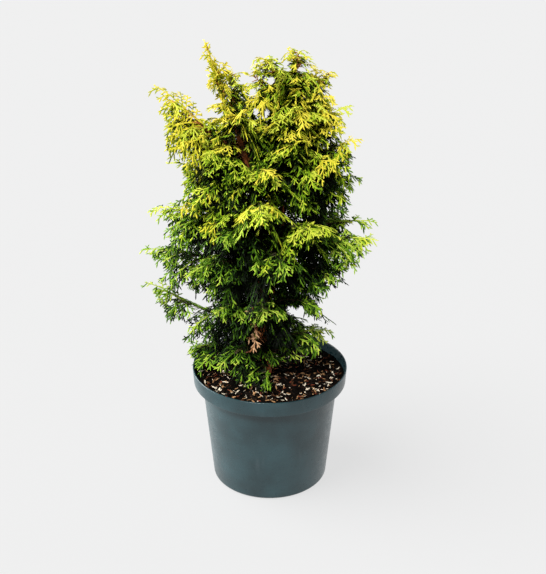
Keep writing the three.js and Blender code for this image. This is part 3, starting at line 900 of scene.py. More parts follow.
def side_sprays(mass, seed, count, shrink=1.0, first=SPRAY["first_at"], last=SPRAY["last_at"]):
    """Sprays along a stem, by turns on its left and right, or all round it if it is upright."""
    dice = seeded(mass["seed"] + seed)
    stem, upright = mass["stem"], mass["upright"]
    for i in range(count):
        share = (i + 0.6 * next(dice)) / count
        t = between(first, last, share) * mass["stem_end"]
        along = stem.along(t)
        level = polar(mass["turn"] - 90, 1, 0)
        level = unit(level - along * (level @ along))
        above = unit(np.cross(level, along))
        lean = between(*SPRAY["upright_lean" if upright else "lean"], next(dice))
        turn = math.radians(i * GOLDEN_ANGLE + lean if upright else lean if i % 2 else 180 - lean)
        outward = level * math.cos(turn) + above * math.sin(turn)
        stray = between(*SPRAY["stray"], next(dice))
        swing = math.radians(between(*SPRAY["swings"], share) + stray)
        ahead = along * math.cos(swing) + outward * math.sin(swing)
        normal = unit(np.cross(along, outward))
        normal = normal if normal[2] >= 0 else -normal
        across = unit(np.cross(normal, ahead))
        length = mass["width"] * between(*SPRAY["lengths"], share)
        length = length * between(*SPRAY["spread"], next(dice)) * shrink
        spray = dict(root=stem.at(t), ahead=ahead, across=across, length=length, at=t, free=False)
        yield spray | dict(sag=between(*SPRAY["sag"], next(dice)))


def spray_half(length, share):
    """Half the width of a spray at a share of its length."""
    share = np.clip(share, 0, 1)
    return length * SPRAY["fullness"] * np.sqrt(share) * (1 - share) ** 0.8


def spray_point(spray, ahead, sideways):
    """Points of a spray's arched surface, in mm ahead of its root and to its side."""
    ahead, sideways = np.asarray(ahead, float), np.asarray(sideways, float)
    fall = spray["sag"] * ahead**2 / spray["length"] + SPRAY["cup"] * abs(sideways)
    return (
        spray["root"]
        + np.multiply.outer(ahead, spray["ahead"])
        + np.multiply.outer(sideways, spray["across"])
        - np.multiply.outer(fall, UP)
    )


# %% Room for a spray
# Where the crown is open: the middle of each gap across and up, and its radius, in mm. First come
# the holes that show sky, then the notches beside and under the tips, where the crown draws in.
OPEN_GAPS = """
    33,516,3 20,515,2.5 -28,503,5 -16,504,4 2,502,4.5 -18,490,4 -15,468,4 -2,467,4 -98,243,8
    -86,231,7 25,224,6 36,223,6 91,332,4 99,333,4.5
    -52,530,8 -29,516,5 77,492,9 -110,388,11 -143,283,8 -145,240,8 -126,195,11 -103,155,7 72,234,8
    89,249,9 9,136,10 -113,383,8 -103,372,5 -147,291,7 -131,276,6 -129,473,7 -105,396,7 -112,401,7
    -144,250,6 -150,248,6 -136,218,8 -112,207,5 -57,542,7 114,381,7 129,311,5 62,232,5 -108,169,9
"""
# These run only as far back as the trunk and the leader, and let their bark be seen.
TRUNK_GLIMPSES = "-28,420,4.5 -26,410,4.5 -33,436,5 15,354,4"
GAPS = [
    [float(value) for value in gap.split(",")] + [back]
    for gaps, back in ((OPEN_GAPS, 200), (TRUNK_GLIMPSES, -3))
    for gap in gaps.split()
]
# Where a spray is tested: shares of its length and of its half width.
TEST_SPOTS = ((0.42, 1), (0.76, 1), (0.42, -1), (0.76, -1), (0.5, 0), (1, 0))
CLEARANCE = dict(rim_width=7, over_rim=2, over_soil=1.5)  # in mm


def away_from(mass, points):
    """Distances from points to a mass's track, as shares of its width."""
    starts, ends = mass["track"][:-1], mass["track"][1:]
    steps = ends - starts
    share = ((points[:, None] - starts) * steps).sum(2) / (steps**2).sum(1)
    nearest = starts + steps * np.clip(share, 0, 1)[..., None]
    return np.linalg.norm(points[:, None] - nearest, axis=2).min(1) / mass["width"]


def in_a_gap(points):
    """True for points that lie in a gap. Gaps run from front to back and a little downhill."""
    found = np.zeros(len(points), bool)
    eye = np.array(camera.location) / MM
    for x, z, radius, back in GAPS:
        way = unit(np.array((x, 0, z)) - eye)
        beside = (points - eye) - np.outer((points - eye) @ way, way)
        found |= (np.linalg.norm(beside, axis=1) < radius) & (points[:, 1] < back)
    return found


def fits(mass, spray):
    """True if the spray is clear of soil, pot and gaps and keeps to its mass's own space."""
    length = spray["length"]
    points = np.array(
        [spray_point(spray, s * length, side * spray_half(length, s)) for s, side in TEST_SPOTS]
    )
    over_rim = np.hypot(points[:, 0], points[:, 1]) > POT["rim"] - CLEARANCE["rim_width"]
    rim, ground = POT["height"] + CLEARANCE["over_rim"], SOIL["top"] + CLEARANCE["over_soil"]
    if (points[:, 2] <= np.where(over_rim, rim, max(ground, mass["clear"]))).any():
        return False
    if not spray.get("end"):
        farthest = mass["reach"] + mass["over"]
        if (points @ polar(mass["turn"], 1, 0) > farthest).any() or in_a_gap(points[3:]).any():
            return False
    if spray["free"]:
        return True
    own = away_from(mass, points) - SHARED
    return all((own < away_from(other, points)).all() for other in masses if other is not mass)


# %% [markdown]
# A living crown has far more sprays than the solids do. Smaller ones stand between them, in rows
# along the stem, beside its tip, like shingles on the outside, and straight from the limbs inside.
# The two domes at the top bristle with shoots that rise all round and bend over.

# %% Smaller sprays
# Rows of side sprays: what each adds to the mass's seed, how many, their length and where they are
# on the stem. In a full mass the number is counted on from the solids' own.
ROWS = ((7, 3, 0.8), (23, 5, 0.6, 0.2, 1.0))
INNER_ROW, ARCH_ROW, ARCH_SAG = (41, 6, 0.6, 0.04, 0.34), (83, 8, 0.6, 0.35, 1.02), 1.7
SLIM_ROWS = ((7, 12, 0.65), (23, 16, 0.55, 0.3, 1.4))
# Beside the end spray: how far back on the stem, the roll in radians, the length and further sag.
TIP_SPRAYS = ((0.97, 0.6, 0.8, 0.05), (0.93, -0.5, 0.8, 0.1), (0.86, 0.15, 0.8, 0.2))
FANS = dict(along=(0.22, 0.95), turns=(-70, 70), steepness=(8, 64), steepest_at_tip=24)
FANS |= dict(swings=(-60, 60), lengths=(26, 40), dwindle=0.5, sag=(0.0, 0.25))
LIMB_SHOOTS = dict(count=5, more_on_top=5, top=360, stretch_on_top=1.25, slim_stretch=0.6)
LIMB_SHOOTS |= dict(heights=(-6, 6), lifts=(10, 50), lengths=(40, 56), sag=(0.25, 0.6))
LIMB_HANGERS = dict(count=4, turns=(-25, 205), lifts=(-35, 15), lengths=(36, 50), sag=(0.2, 0.5))
DOME = dict(count=26, along=(0.45, 0.98), lifts=(14, 58), lengths=(20, 30), sag=(0.25, 0.65))
DOME_FILL = dict(count=16, along=(0.15, 0.75), lifts=(42, 80), lengths=(26, 38), sag=(0.15, 0.5))
FLAME = dict(count=26, along=(0.0, 0.9), lifts=(50, 76), lengths=(19, 28), sag=(0.05, 0.3))
DOME["at_tip"], DOME_FILL["at_tip"], FLAME["at_tip"] = 0.75, 0.8, 0.55
TRIED_LENGTHS = (1, 0.82, 0.66)
DOMED_END, DEAD_END = 0.6, 0.5  # how much of the end spray is left there
# Dead branchlets hang one under the other: root in mm, lean to the side and length.
DEAD_HANGERS = (
    ((-19.0, -57, 255), -0.02, 20.0),
    ((-18.0, -59, 239), 0.12, 22.0),
    ((-16.0, -58, 224), -0.1, 22.0),
)


def beside_the_end(mass, end):
    """Sprays beside the end spray that are rolled another way, so that a tip has body."""
    for back, roll, shrink, sag in TIP_SPRAYS:
        across = turned(end["across"], end["ahead"], roll)
        across = across if np.cross(end["ahead"], across)[2] >= 0 else -across
        root, length = mass["stem"].at(mass["stem_end"] * back), end["length"] * shrink
        yield end | dict(root=root, across=across, length=length, sag=end["sag"] + sag, end=False)


def outer_fans(mass):
    """Small sprays along a mass and its tip with their faces outwards, like shingles."""
    dice = seeded(mass["seed"] + 67)
    least, most = FANS["steepness"]
    for k in range(mass["fans"]):
        share = (k + next(dice)) / mass["fans"]
        t = between(*FANS["along"], share)
        turn = mass["turn"] + between(*FANS["turns"], next(dice))
        # The slope that faces outwards and a little up, and a direction on it.
        steepest = between(most, FANS["steepest_at_tip"], share)
        steep = math.radians(between(least, steepest, next(dice)))
        downhill = polar(turn, math.cos(steep), -math.sin(steep))
        level = polar(turn + 90, 1, 0)
        swing = math.radians(between(*FANS["swings"], next(dice)))
        ahead = downhill * math.cos(swing) + level * math.sin(swing)
        across = level * math.cos(swing) - downhill * math.sin(swing)
        length = between(*FANS["lengths"], next(dice)) * (1 - FANS["dwindle"] * share)
        sag, root = between(*FANS["sag"], next(dice)), mass["stem"].at(t)
        yield dict(root=root, ahead=ahead, across=across, length=length, sag=sag, at=t, free=True)


def shoot(root, turn, rule, dice, stretch=1.0):
    """A spray that rises from its root in the direction of the turn, and bends over."""
    lift = math.radians(between(*rule["lifts"], next(dice)))
    length = between(*rule["lengths"], next(dice)) * stretch
    ahead, across = polar(turn, math.cos(lift), math.sin(lift)), polar(turn + 90, 1, 0)
    sag = between(*rule["sag"], next(dice))
    return dict(root=root, ahead=ahead, across=across, length=length, sag=sag, at=0.0, free=True)


def limb_shoots(mass, index):
    """Short sprays straight from the trunk or the leader, that fill the crown round its limbs."""
    dice = seeded(mass["seed"] + 59)
    on_top = mass["start"] > LIMB_SHOOTS["top"]
    count = LIMB_SHOOTS["count"] + LIMB_SHOOTS["more_on_top"] * on_top
    stretch = LIMB_SHOOTS["stretch_on_top"] if on_top else 1.0
    if mass["slim"]:
        stretch = LIMB_SHOOTS["slim_stretch"]
    for k in range(count):
        turn = (index * count + k) * GOLDEN_ANGLE
        height = mass["start"] + between(*LIMB_SHOOTS["heights"], next(dice))
        yield shoot(mass["limb_curve"].at_height(height), turn, LIMB_SHOOTS, dice, stretch)
    # At the sides and the back others hang close to the limb, so that it doesn't stand bare.
    for k in range(0 if mass["slim"] else LIMB_HANGERS["count"]):
        turn = between(*LIMB_HANGERS["turns"], (k + next(dice)) / LIMB_HANGERS["count"])
        height = mass["start"] + between(*LIMB_SHOOTS["heights"], next(dice))
        yield shoot(mass["limb_curve"].at_height(height), turn, LIMB_HANGERS, dice)


def shoots_all_round(mass, rule):
    """Sprays that rise from an upright stem on all sides, and bend over as the rule says."""
    dice = seeded(mass["seed"] + 97)
    for k in range(rule["count"]):
        share = (k + next(dice)) / rule["count"]
        root = mass["stem"].at(between(*rule["along"], share))
        yield shoot(root, k * GOLDEN_ANGLE, rule, dice, between(1, rule["at_tip"], share))


def dead_sprays(end):
    """What is left of the dead end spray, and the branchlets that hang beside it."""
    yield end | dict(length=DEAD_END * end["length"])
    for root, lean, length in DEAD_HANGERS:
        ahead, across = unit(np.array((lean, -0.1, -1.0))), np.array((1.0, -0.2, 0.0))
        spray = dict(root=np.array(root), ahead=ahead, across=across, length=length)
        yield spray | dict(sag=0.0, at=0.0, free=True)


def slim_sprays(mass, index, count, end):
    """The sprays of a thin, pointed mass. None is shortened, and only clashes are left out."""
    slight = [*side_sprays(mass, 0, count + 5, 0.8)]
    for row in SLIM_ROWS:
        slight += side_sprays(mass, *row)
    slight += [*shoots_all_round(mass, FLAME), *limb_shoots(mass, index)]
    slight = [spray | dict(free=True) for spray in slight]
    return [end, *(spray for spray in slight if fits(mass, spray))]


def grow_sprays(index, mass):
    """The end spray and the solids' side sprays, and then smaller ones that fill between them."""
    bare = mass["stem"].length * (1 - SPRAY["first_at"])
    count = min(max(round(bare / SPRAY["spacing"]), SPRAY["fewest"]), SPRAY["most"])
    end = end_spray(mass)
    if mass["dead"]:
        return [*dead_sprays(end)]
    if mass["slim"]:
        return slim_sprays(mass, index, count, end)
    if mass["domed"]:
        end = end | dict(length=DOMED_END * end["length"])
    wanted = [end, *side_sprays(mass, 0, count), *beside_the_end(mass, end)]
    for seed, more, *row in ROWS:
        wanted += side_sprays(mass, seed, count + more, *row)
    if mass["upright"]:
        wanted += [*shoots_all_round(mass, DOME), *shoots_all_round(mass, DOME_FILL)]
    wanted += [spray | dict(free=True) for spray in side_sprays(mass, *INNER_ROW)]
    wanted += outer_fans(mass)
    if mass["upright"]:
        for spray in side_sprays(mass, *ARCH_ROW):
            wanted.append(spray | dict(free=True, sag=spray["sag"] * ARCH_SAG))
    wanted += limb_shoots(mass, index)
    grown = []
    for spray in wanted:
        for shorter in TRIED_LENGTHS:
            tried = spray | dict(length=spray["length"] * shorter)
            if fits(mass, tried):
                grown.append(tried)
                break
    return grown


for index, mass in enumerate(masses):
    mass["sprays"] = grow_sprays(index, mass)
print("sprays:", sum(len(mass["sprays"]) for mass in masses))

# %% [markdown]
# ## Twigs
# The stems and the midribs of the sprays are round and taper. They are drawn as curves with a
# radius at each point, and one Geometry Nodes tree gives all of them a skin: Curve to Mesh lays a
# circle along each curve. Shoots of the last two years are green or orange, and older ones brown.

# %% Twigs
# Radii at the root and the tip in mm, and how much of a midrib shows as wood.
STEM_RADII, MIDRIB_RADII, MIDRIB_SHARE, DEAD_MIDRIB_SHARE = (1.7, 0.8), (0.7, 0.35), 0.3, 0.9
# Each kind of twig: the name of its bark, its colour and roughness, and the sides of its skin.
TWIGS = {
    "stems": ("older twig bark", "#452C1A", 0.8, 6),
    "midribs": ("green shoot bark", "#4B4520", 0.6, 4),
    "golden_midribs": ("young shoot bark", "#B0702F", 0.6, 4),
    "dead_twigs": ("dead twig bark", "#7A4526", 0.9, 4),
}

skin, wanted = new_tree("skin twigs", Sides="Int", Bark="Material")
ring = add_node(
    skin, "GeometryNodeCurvePrimitiveCircle", {"Radius": 1.0}, {"Resolution": wanted["Sides"]}
)
radius = add_node(skin, "GeometryNodeInputRadius")
links = {"Curve": wanted["Geometry"], "Profile Curve": ring, "Scale": radius}
tube = add_node(skin, "GeometryNodeCurveToMesh", {"Fill Caps": True}, links)
round_tube = add_node(skin, "GeometryNodeSetShadeSmooth", links={"Geometry": tube})
end_tree(skin, round_tube, wanted["Bark"])


def skin_twigs(name, twigs, bark, sides):
    """One piece of all these twigs, each a tuple of points and radii in mm."""
    curves = bpy.data.curves.new(name, "CURVE")
    curves.dimensions = "3D"
    for points, radii in twigs:
        spline = curves.splines.new("POLY")
        spline.points.add(len(points) - 1)
        spline.points.foreach_set("co", np.c_[points * MM, np.ones(len(points))].ravel())
        spline.points.foreach_set("radius", np.linspace(*radii, len(points)) * MM)
    return run_tree(name, new_object("drawn twigs", curves), skin, Sides=sides, Bark=bark)


twigs = {kind: [] for kind in TWIGS}
for mass in masses:
    dead = mass["dead"]
    line = (mass["stem"].at(np.linspace(0, mass["stem_end"], 14)), STEM_RADII)
    twigs["dead_twigs" if dead else "stems"].append(line)
    golden = mass["tier"].startswith("top")
    for spray in mass["sprays"]:
        length = spray["length"] * (DEAD_MIDRIB_SHARE if dead else MIDRIB_SHARE)
        line = (spray_point(spray, np.linspace(0, length, 7), np.zeros(7)), MIDRIB_RADII)
        kind = "dead_twigs" if dead else "golden_midribs" if golden else "midribs"
        twigs[kind].append(line)
twig_pieces = []
for kind, (bark_name, colour, roughness, sides) in TWIGS.items():
    shoot_bark = new_material(bark_name, Base_Color=linear(colour), Roughness=roughness)
    twig_pieces.append(skin_twigs(kind, twigs[kind], shoot_bark, sides))
    print(kind, "faces:", len(twig_pieces[-1].data.polygons))

# %% [markdown]
# ## Foliage
# A hinoki has no needles but tiny scales that clasp its last twigs, so a branchlet looks like a
# flat, green, forked finger under 2 mm wide. Many fingers stand left and right along a branchlet,
# and branchlets along a midrib make the flat, drooping spray. The shape that repeats is the finger,
# a blade of five faces with a low ridge. Python works out where each one sits, how it is turned and
# which tint it has, and Geometry Nodes puts a blade on every spot.

# %% Fingers of a branchlet
# Steps and lengths are in mm. Angles are in degrees, from a branchlet's start to its tip.
BRANCHLET = dict(step=8.0, along=(0.10, 0.93), shift=(-0.5, 0.5), swings=(58, 36), stray=(-6, 6))
BRANCHLET |= dict(fuller=0.16, spread=(0.8, 1.15), least_share=0.14, least=3.5)
BRANCHLET |= dict(tilt=(-0.22, 0.2), curl=(0.0, 0.01), midrib_from=0.15)
FINGER = dict(step=3.6, width=1.65, fork=48, stray=(-7, 7), length=5.2, longer_at_root=4.2)
FINGER |= dict(widths=(0.85, 1.1), spread=(0.8, 1.2), long=7.6, chain_step=6.0, droop=0.10)
# A long finger forks again: the further turn of each fork and where it leaves the finger.
FORKS = ((30, 0.42), (-34, 0.62))


def branchlets_of(spray, dice):
    """Where each branchlet of a spray starts and how it lies, as columns of numbers."""
    rule, length = BRANCHLET, spray["length"]
    starts = np.arange(rule["along"][0] * length, rule["along"][1] * length, rule["step"])
    count = len(starts)
    starts = starts + dice.uniform(*rule["shift"], count)
    side = np.where(np.arange(count) % 2, 1.0, -1.0)
    swing = between(*rule["swings"], starts / length) + dice.uniform(*rule["stray"], count)
    swing = np.radians(swing)
    reach = spray_half(length, starts / length + rule["fuller"]) / np.sin(swing)
    least = rule["least_share"] * length + rule["least"]
    reach = np.maximum(reach * dice.uniform(*rule["spread"], count), least)
    # The midrib itself is the last branchlet, with no side.
    starts, side = np.append(starts, rule["midrib_from"] * length), np.append(side, 0.0)
    swing, reach = np.append(swing, 0.0), np.append(reach, (1 - rule["midrib_from"]) * length)
    tilt = dice.uniform(*rule["tilt"], count + 1)
    curl = dice.uniform(*rule["curl"], count + 1)
    return np.c_[starts, side, swing, reach, tilt * (side != 0), curl * (side != 0)]


def fingers_of(branchlets, dice):
    """Every finger of some branchlets: its own branchlet's number, where it starts and ends there,
    its width and how near the tip it is, in mm along the branchlet and to its side."""
    reach = branchlets[:, 3]
    which = np.arange(len(branchlets))
    count, width = len(which), FINGER["width"]
    found = []

    def add(on, u0, v0, u1, v1, width):
        if on.any():
            near_tip = np.clip(u0 / np.maximum(reach, 1), 0, 1) + 0.15 * abs(v0)
            columns = np.broadcast_arrays(which, u0, v0, u1, v1, width, near_tip)
            found.append(np.array(columns)[:, on])

    for j in range(int(reach.max() / FINGER["step"]) + 1):
        u = (j + 0.5 + dice.uniform(-0.2, 0.2, count)) * FINGER["step"]
        on = (u < reach - 1.0) & ((branchlets[:, 1] != 0) | (u > 0.5 * reach))
        side = np.where((which + j) % 2, 1.0, -1.0)
        left = np.clip(1 - u / np.maximum(reach, 1), 0, 1)
        size = FINGER["longer_at_root"] * left**0.7 * np.clip(reach / 22, 0.4, 1)
        size = (FINGER["length"] + size) * dice.uniform(*FINGER["spread"], count)
        fork = np.radians(FINGER["fork"] + dice.uniform(*FINGER["stray"], count))
        end_u, end_v = u + size * np.cos(fork), side * size * np.sin(fork)
        add(on, u, 0 * u, end_u, end_v, width * dice.uniform(*FINGER["widths"], count))
        for turn, at in FORKS:
            start_u, start_v, small = between(u, end_u, at), end_v * at, size * 0.5
            angle = fork + np.radians(turn)
            fork_u = start_u + small * np.cos(angle)
            fork_v = start_v + side * small * np.sin(angle)
            add(on & (size > FINGER["long"]), start_u, start_v, fork_u, fork_v, width * 0.85)
    # The branchlet's own axis is a chain of longer links.
    for j in range(int(reach.max() / FINGER["chain_step"]) + 1):
        u = np.full(count, j * FINGER["chain_step"])
        end = np.minimum(u + FINGER["chain_step"] * 1.5, reach + 1.0)
        add(u < reach, u, 0 * u, end, 0 * u, width * 0.9)
    return np.concatenate(found, axis=1).T


# %% Fingers of a mass
# How a finger's glow is made up: its mass's, its nearness to the tip, the midrib's, and chance by
# spray, branchlet and finger; the midrib's is partly a painted highlight along the ridge. By shares
# of the mass's width, a finger near its stem gets a painted highlight and one that hangs far under it
# painted shade. By shares of open sky, one that little light reaches gets painted shade as well, and
# one in the open painted light.
GLOW = dict(mass=0.38, tip=0.2, rib=0.14, spray=0.14, branchlet=0.1, finger=0.16)
RIDGE_DROPS, PAINTED_RIDGE_LIGHT = (-0.3, 0.0, 0.15, 0.35, 0.6, 1.0), (0.12, 0.22, 0.08, -0.1, -0.28, -0.42)
LIGHT_SHARES, PAINTED_SKY_LIGHT = (0.004, 0.04, 0.15, 0.42), (-0.55, -0.33, 0.08, 0.42)
# Growth goes from green at 0 to golden at 2, by height in mm, by the mass's own glow and by chance.
GROWTH = dict(low=270, high=470, glow=1.7, chance=0.3)
# Fingers also clasp a mass's stem, from a share of it and a distance in mm on.
CLASP = dict(start=0.14, limb_clear=12.0, step=1.2, lengths=(5.0, 8.0), slim_stretch=1.4)
CLASP |= dict(sides=(0.5, 1.1), widths=(1.15, 1.45))
DEAD_LEFT = 0.8  # how many branchlets of a dead spray are left


def under_ridge(mass, points):
    """How far points hang under the stem of their mass, as shares of its width."""
    line = mass["stem"].at(np.linspace(0, 1, 21))
    flat = np.linalg.norm(points[:, None, :2] - line[:, :2], axis=2)
    return (line[flat.argmin(1), 2] - points[:, 2]) / mass["width"]


def growth_at(mass, height):
    """How golden a mass's growth is at a height: 0 is green, 1 lime and 2 golden."""
    share = (height - GROWTH["low"]) / (GROWTH["high"] - GROWTH["low"])
    return np.clip(share, 0, 1) + GROWTH["glow"] * (mass["glow"] - 0.5) + mass["gold"]


def clasping_fingers(mass, dice):
    """Fingers that clasp the mass's own stem, by turns on its left and right."""
    stem, slim = mass["stem"], mass["slim"]
    first = 1.0 if slim else max(CLASP["start"] * stem.length, CLASP["limb_clear"])
    step = CLASP["step"] / 2 if slim else CLASP["step"]
    share = np.arange(first, mass["stem_end"] * stem.length, step) / stem.length
    root, count = stem.at(share), len(share)
    along = unit(stem.at(np.minimum(share + 0.01, 1)) - stem.at(share - 0.01))
    level = unit(np.cross(along, UP))
    side = np.where(np.arange(count) % 2, 1.0, -1.0)[:, None]
    side = side * dice.uniform(*CLASP["sides"], (count, 1))
    above = np.cross(level, along)
    if mass["upright"]:
        turn = np.radians(np.arange(count) * GOLDEN_ANGLE)[:, None]
        cos, sin = np.cos(turn), np.sin(turn)
        level, above = level * cos + above * sin, above * cos - level * sin
    root = root + above * between(*STEM_RADII, share)[:, None]
    length = dice.uniform(*CLASP["lengths"], (count, 1)) * (CLASP["slim_stretch"] if slim else 1.0)
    tip = root + length * unit(along + 0.7 * side * level + 0.05 * above)
    width = FINGER["width"] * dice.uniform(*CLASP["widths"], count)
    # Fingers on the stem are lighter by twice the midrib's share, partly a painted highlight along
    # the ridge.
    glow = GLOW["mass"] * mass["glow"] + 2 * GLOW["rib"] + dice.normal(0, GLOW["finger"], count)
    growth = np.clip(np.round(growth_at(mass, root[:, 2])), 0, 2)
    return root, tip, above + 0.4 * side * level, width, glow, growth


def still_joined(rows, fingers, cut):
    """True for fingers that a gap leaves, with all they grow from, so that none hangs in air."""
    which = fingers[:, 0].astype(int)
    link = cut & (fingers[:, 2] == 0) & (fingers[:, 4] == 0)
    reach = np.full(len(rows), np.inf)
    np.minimum.at(reach, which[link], fingers[link, 1])
    # The last row is the midrib, and a branchlet beyond its first cut link goes as well.
    reach[rows[:, 0] > rows[-1, 0] + reach[-1]] = -1
    return ~cut & (fingers[:, 1] <= reach[which])


def place_fingers(mass, dice):
    """Roots, tips, normals, widths, glows and growths of every finger of a mass."""
    placed = []
    for spray in mass["sprays"]:
        rows = branchlets_of(spray, dice)
        if mass["dead"]:
            rows = rows[dice.uniform(size=len(rows)) < DEAD_LEFT]
        fingers = fingers_of(rows, dice)
        which = fingers[:, 0].astype(int)
        start, side, swing, reach, tilt, curl = rows[which].T
        handed = np.where(side == 0, 1.0, side)
        ends = []
        for u, v in ((fingers[:, 1], fingers[:, 2]), (fingers[:, 3], fingers[:, 4])):
            ahead = start + u * np.cos(swing) - v * np.sin(swing)
            sideways = handed * (u * np.sin(swing) + v * np.cos(swing))
            point = spray_point(spray, ahead, sideways)
            point[:, 2] -= tilt * u + curl * u**2 + FINGER["droop"] * abs(v)
            ends.append(point)
        root, tip = ends
        slope = spray["ahead"] - np.outer(2 * spray["sag"] * start / spray["length"], UP)
        lean = spray["across"] - np.outer((SPRAY["cup"] + tilt) * side, UP)
        normal = unit(np.cross(slope, lean))
        normal *= np.where(normal[:, 2:] < 0, -1, 1)
        normal += dice.normal(0, 0.18, normal.shape)
        # Old growth near the limb is dark, and the year's growth at the tips is lighter. Fingers near
        # the stem's ridge get a painted highlight, those that hang far under it painted shade, and
        # the midrib is lighter, partly by a painted highlight.
        glow = GLOW["mass"] * mass["glow"] + GLOW["tip"] * (fingers[:, 6] - 0.6)
        if not mass["upright"]:
            glow = glow + np.interp(under_ridge(mass, root), RIDGE_DROPS, PAINTED_RIDGE_LIGHT)
        glow = glow + GLOW["rib"] * (side == 0) + dice.normal(0, GLOW["spray"])
        glow = glow + dice.normal(0, GLOW["branchlet"], len(rows))[which]
        glow = glow + dice.normal(0, GLOW["finger"], len(root))
        growth = growth_at(mass, spray["root"][2]) + dice.normal(0, GROWTH["chance"])
        growth = np.full(len(root), np.clip(round(growth), 0, 2))
        kept = ~in_a_gap((root + tip) / 2)
        if not mass["dead"] and not kept.all():
            kept = still_joined(rows, fingers, ~kept | in_a_gap(root))
        columns = (root, tip, normal, fingers[:, 5], glow, growth)
        placed.append([column[kept] for column in columns])
    if not mass["dead"]:
        placed.append(clasping_fingers(mass, dice))
    return [np.concatenate(column) for column in zip(*placed)]


# %% [markdown]
# The crown shades itself, and that shade is painted into the leaves' tints: fingers deep inside get
# little light and take darker tints, painted shade, while those outside take lighter ones, painted
# light. So every finger is counted into a coarse grid, and the light that comes from the sky down
# through the grid tells how much of it is left at each finger.


# %% Light inside the crown
def open_to_sky(points, cell=4.0, reach=18, density=0.5):
    """The share of the light from above that reaches each point through all the others."""
    low = points.min(0) - cell * 2
    shape = np.ceil((points.max(0) + cell * 2 - low) / cell).astype(int)
    cells = tuple(((points - low) / cell).astype(int).T)
    filled, seen = np.zeros(shape), np.zeros(shape)
    np.add.at(filled, cells, 1.0)
    # Ways to the sky: the turn, the height above the horizon in degrees and the weight.
    ways = [(0.0, 90.0, 2.5)] + [(turn, 62.0, 1.5) for turn in range(0, 360, 60)]
    ways += [(turn, 25.0, 1.0) for turn in range(0, 360, 45)]
    for turn, height, weight in ways:
        way = polar(turn, math.cos(math.radians(height)), math.sin(math.radians(height)))
        depth = np.zeros(shape)
        for step in range(1, reach + 1):
            shift = np.round(way * step).astype(int)
            source = [slice(max(s, 0), min(n, n + s)) for s, n in zip(shift, shape)]
            target = [slice(max(-s, 0), min(n, n - s)) for s, n in zip(shift, shape)]
            depth[tuple(target)] += filled[tuple(source)]
        seen += weight * np.exp(-density * depth)
    return seen[cells] / sum(weight for _, _, weight in ways)


for mass in masses:
    mass["fingers"] = place_fingers(mass, np.random.default_rng(mass["seed"]))
light = open_to_sky(np.concatenate([mass["fingers"][0] for mass in masses]))
counts = [len(mass["fingers"][0]) for mass in masses]
for mass, share in zip(masses, np.split(light, np.cumsum(counts)[:-1])):
    mass["light"] = share
print("fingers:", sum(counts), "light:", np.percentile(light, (5, 50, 95)).round(3))

# %% Leaf tints
# Scale leaves are waxy and opaque, with a soft shine. Each ladder holds lit and shaded copies of one
# growth's colour, from the darkest tint, painted shade deep in the crown, to the brightest, the
# year's new growth in painted light: gold at the top of the crown, lime in its middle and fresh green
# at its foot.
LIT_AND_SHADED_STEPS = ("shaded", "deep", "dark", "middling", "fresh", "light", "bright", "brightest")
LEAF_TINTS = {
    "golden": "#161E06 #2F3A0B #525F11 #7A8819 #9DA722 #BDBD2B #D8CE38 #EADB48",
    "lime": "#080F02 #162704 #2F4A08 #50700E #779A18 #9CB627 #BDCD38 #D3DB4B",
    "green": "#060D02 #102104 #233F08 #3E600E #5D8418 #7DA228 #9AB838 #B6C74A",
}
DEAD_TINTS = {
    "dead scale leaves, dark": "#5E3820",
    "dead scale leaves": "#9C6A42",
    "dead scale leaves, pale": "#CCA077",
}
living_tints = {
    f"{growth} scale leaves, {step}": tint
    for growth, tints in LEAF_TINTS.items()
    for step, tint in zip(LIT_AND_SHADED_STEPS, tints.split())
}

# %% A blade on every spot
# The outline of a finger that is 1 wide and 1 long, and the top of its ridge.
BLADE = [(-0.4, 0, -0.05), (0.4, 0, -0.05), (0.5, 0.65, -0.08), (0, 1, -0.03), (-0.5, 0.65, -0.08)]
BLADE += [(0, 0.5, 0.3)]
blade_faces = [(k, (k + 1) % 5, 5) for k in range(5)]
blade = new_mesh("finger", np.array(BLADE) / MM, blade_faces, smooth=False)


def foliage_tree(tints):
    """The tree that puts a leaf on each point and deals out the tints."""
    tree, wanted = new_tree("leaves on spots", Leaf="Object")

    def field(name, kind):
        return add_node(tree, "GeometryNodeInputNamedAttribute", {"data_type": kind, 0: name})

    leaf = add_node(tree, "GeometryNodeObjectInfo", links={"Object": wanted["Leaf"]})
    turn = add_node(
        tree,
        "FunctionNodeAxesToRotation",
        {"primary_axis": "Y", "secondary_axis": "Z"},
        {0: field("ahead", "FLOAT_VECTOR"), 1: field("facing", "FLOAT_VECTOR")},
    )
    links = {"Points": wanted["Geometry"], "Instance": leaf.outputs["Geometry"], "Rotation": turn}
    links["Scale"] = field("size", "FLOAT_VECTOR")
    leaves = add_node(tree, "GeometryNodeInstanceOnPoints", links=links)
    painted = add_node(tree, "GeometryNodeRealizeInstances", links={0: leaves})
    for index, (name, tint) in enumerate(tints.items()):
        material = new_material(
            name, Base_Color=linear(tint), Roughness=0.55, Specular_IOR_Level=0.08
        )
        settings = {"data_type": "FLOAT", "operation": "EQUAL", "Epsilon": 0.1, 1: float(index)}
        chosen = add_node(tree, "FunctionNodeCompare", settings, {0: field("tint", "FLOAT")})
        links = {"Geometry": painted, "Selection": chosen}
        painted = add_node(tree, "GeometryNodeSetMaterial", {"Material": material}, links)
    add_node(tree, "NodeGroupOutput", links={0: painted})
    return tree


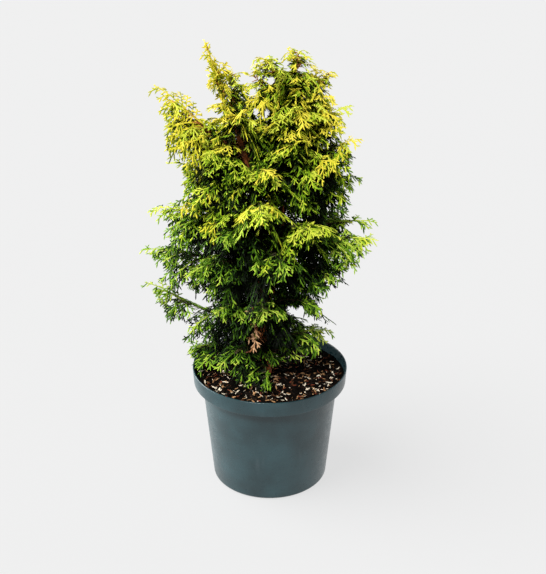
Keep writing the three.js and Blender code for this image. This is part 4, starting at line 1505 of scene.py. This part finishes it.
def foliage_piece(name, tree, roots, tips, normals, widths, tints):
    """A piece of foliage: a leaf from each root to its tip, facing along its normal."""
    spots = new_mesh("spots", roots, [])
    ahead = tips - roots
    sizes = np.c_[widths, np.linalg.norm(ahead, axis=1), widths] * MM
    fields = dict(ahead=unit(ahead), facing=normals, size=sizes)
    for label, values in fields.items():
        field = spots.data.attributes.new(label, "FLOAT_VECTOR", "POINT")
        field.data.foreach_set("vector", values.ravel())
    spots.data.attributes.new("tint", "FLOAT", "POINT").data.foreach_set("value", tints)
    piece = run_tree(name, spots, tree, Leaf=blade)
    for label in (*fields, "tint"):
        if label in piece.data.attributes:
            piece.data.attributes.remove(piece.data.attributes[label])
    return piece


living_tree, withered_tree = foliage_tree(living_tints), foliage_tree(DEAD_TINTS)
foliage = {}
for tier, grown in tiers.items():
    columns = zip(*((*mass["fingers"], mass["light"]) for mass in grown))
    columns = [np.concatenate(column) for column in columns]
    keep = np.minimum(columns[0][:, 2], columns[1][:, 2]) > SOIL["top"] + 0.5
    roots, tips, normals, widths, glows, growths, lights = (column[keep] for column in columns)
    # A living finger's tint also takes the painted shade and painted light of the sky grid. A dead
    # finger's takes only the painted highlight and shade of its ridge.
    if tier == "dead":
        tree, tints = withered_tree, np.clip(np.round((glows + 0.2) * 4), 0, len(DEAD_TINTS) - 1)
    else:
        tree, glows = living_tree, glows + np.interp(lights, LIGHT_SHARES, PAINTED_SKY_LIGHT)
        tints = np.clip(np.round(glows * (len(LIT_AND_SHADED_STEPS) - 1)), 0, len(LIT_AND_SHADED_STEPS) - 1)
        tints += len(LIT_AND_SHADED_STEPS) * (2 - growths)
    foliage[tier] = foliage_piece(f"foliage_{tier}", tree, roots, tips, normals, widths, tints)
    print(tier, "leaves:", int(keep.sum()), "faces:", len(foliage[tier].data.polygons))
bpy.data.objects.remove(blade)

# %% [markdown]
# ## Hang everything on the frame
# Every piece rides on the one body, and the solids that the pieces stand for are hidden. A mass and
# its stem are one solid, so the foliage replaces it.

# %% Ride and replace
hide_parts("pot")
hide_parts("potting_soil")
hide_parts("trunk")
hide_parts("second_leader")
for name, bough in boughs.items():
    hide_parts(name)
for tier, grown in tiers.items():
    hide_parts(*[mass["name"] for mass in grown])
barked = (trunk, leader, *boughs.values(), *twig_pieces)
for piece in (pot, soil, *chip_pieces, *barked, *foliage.values()):
    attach(piece, "root")

# %% Sizes
made_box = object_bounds()
sizes = {"cad": [list(corner) for corner in cad_box], "visual": [list(corner) for corner in made_box]}
print("size:", sizes)
triangles = sum(len(p.vertices) - 2 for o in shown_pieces() for p in o.data.polygons)
print("triangles:", triangles)
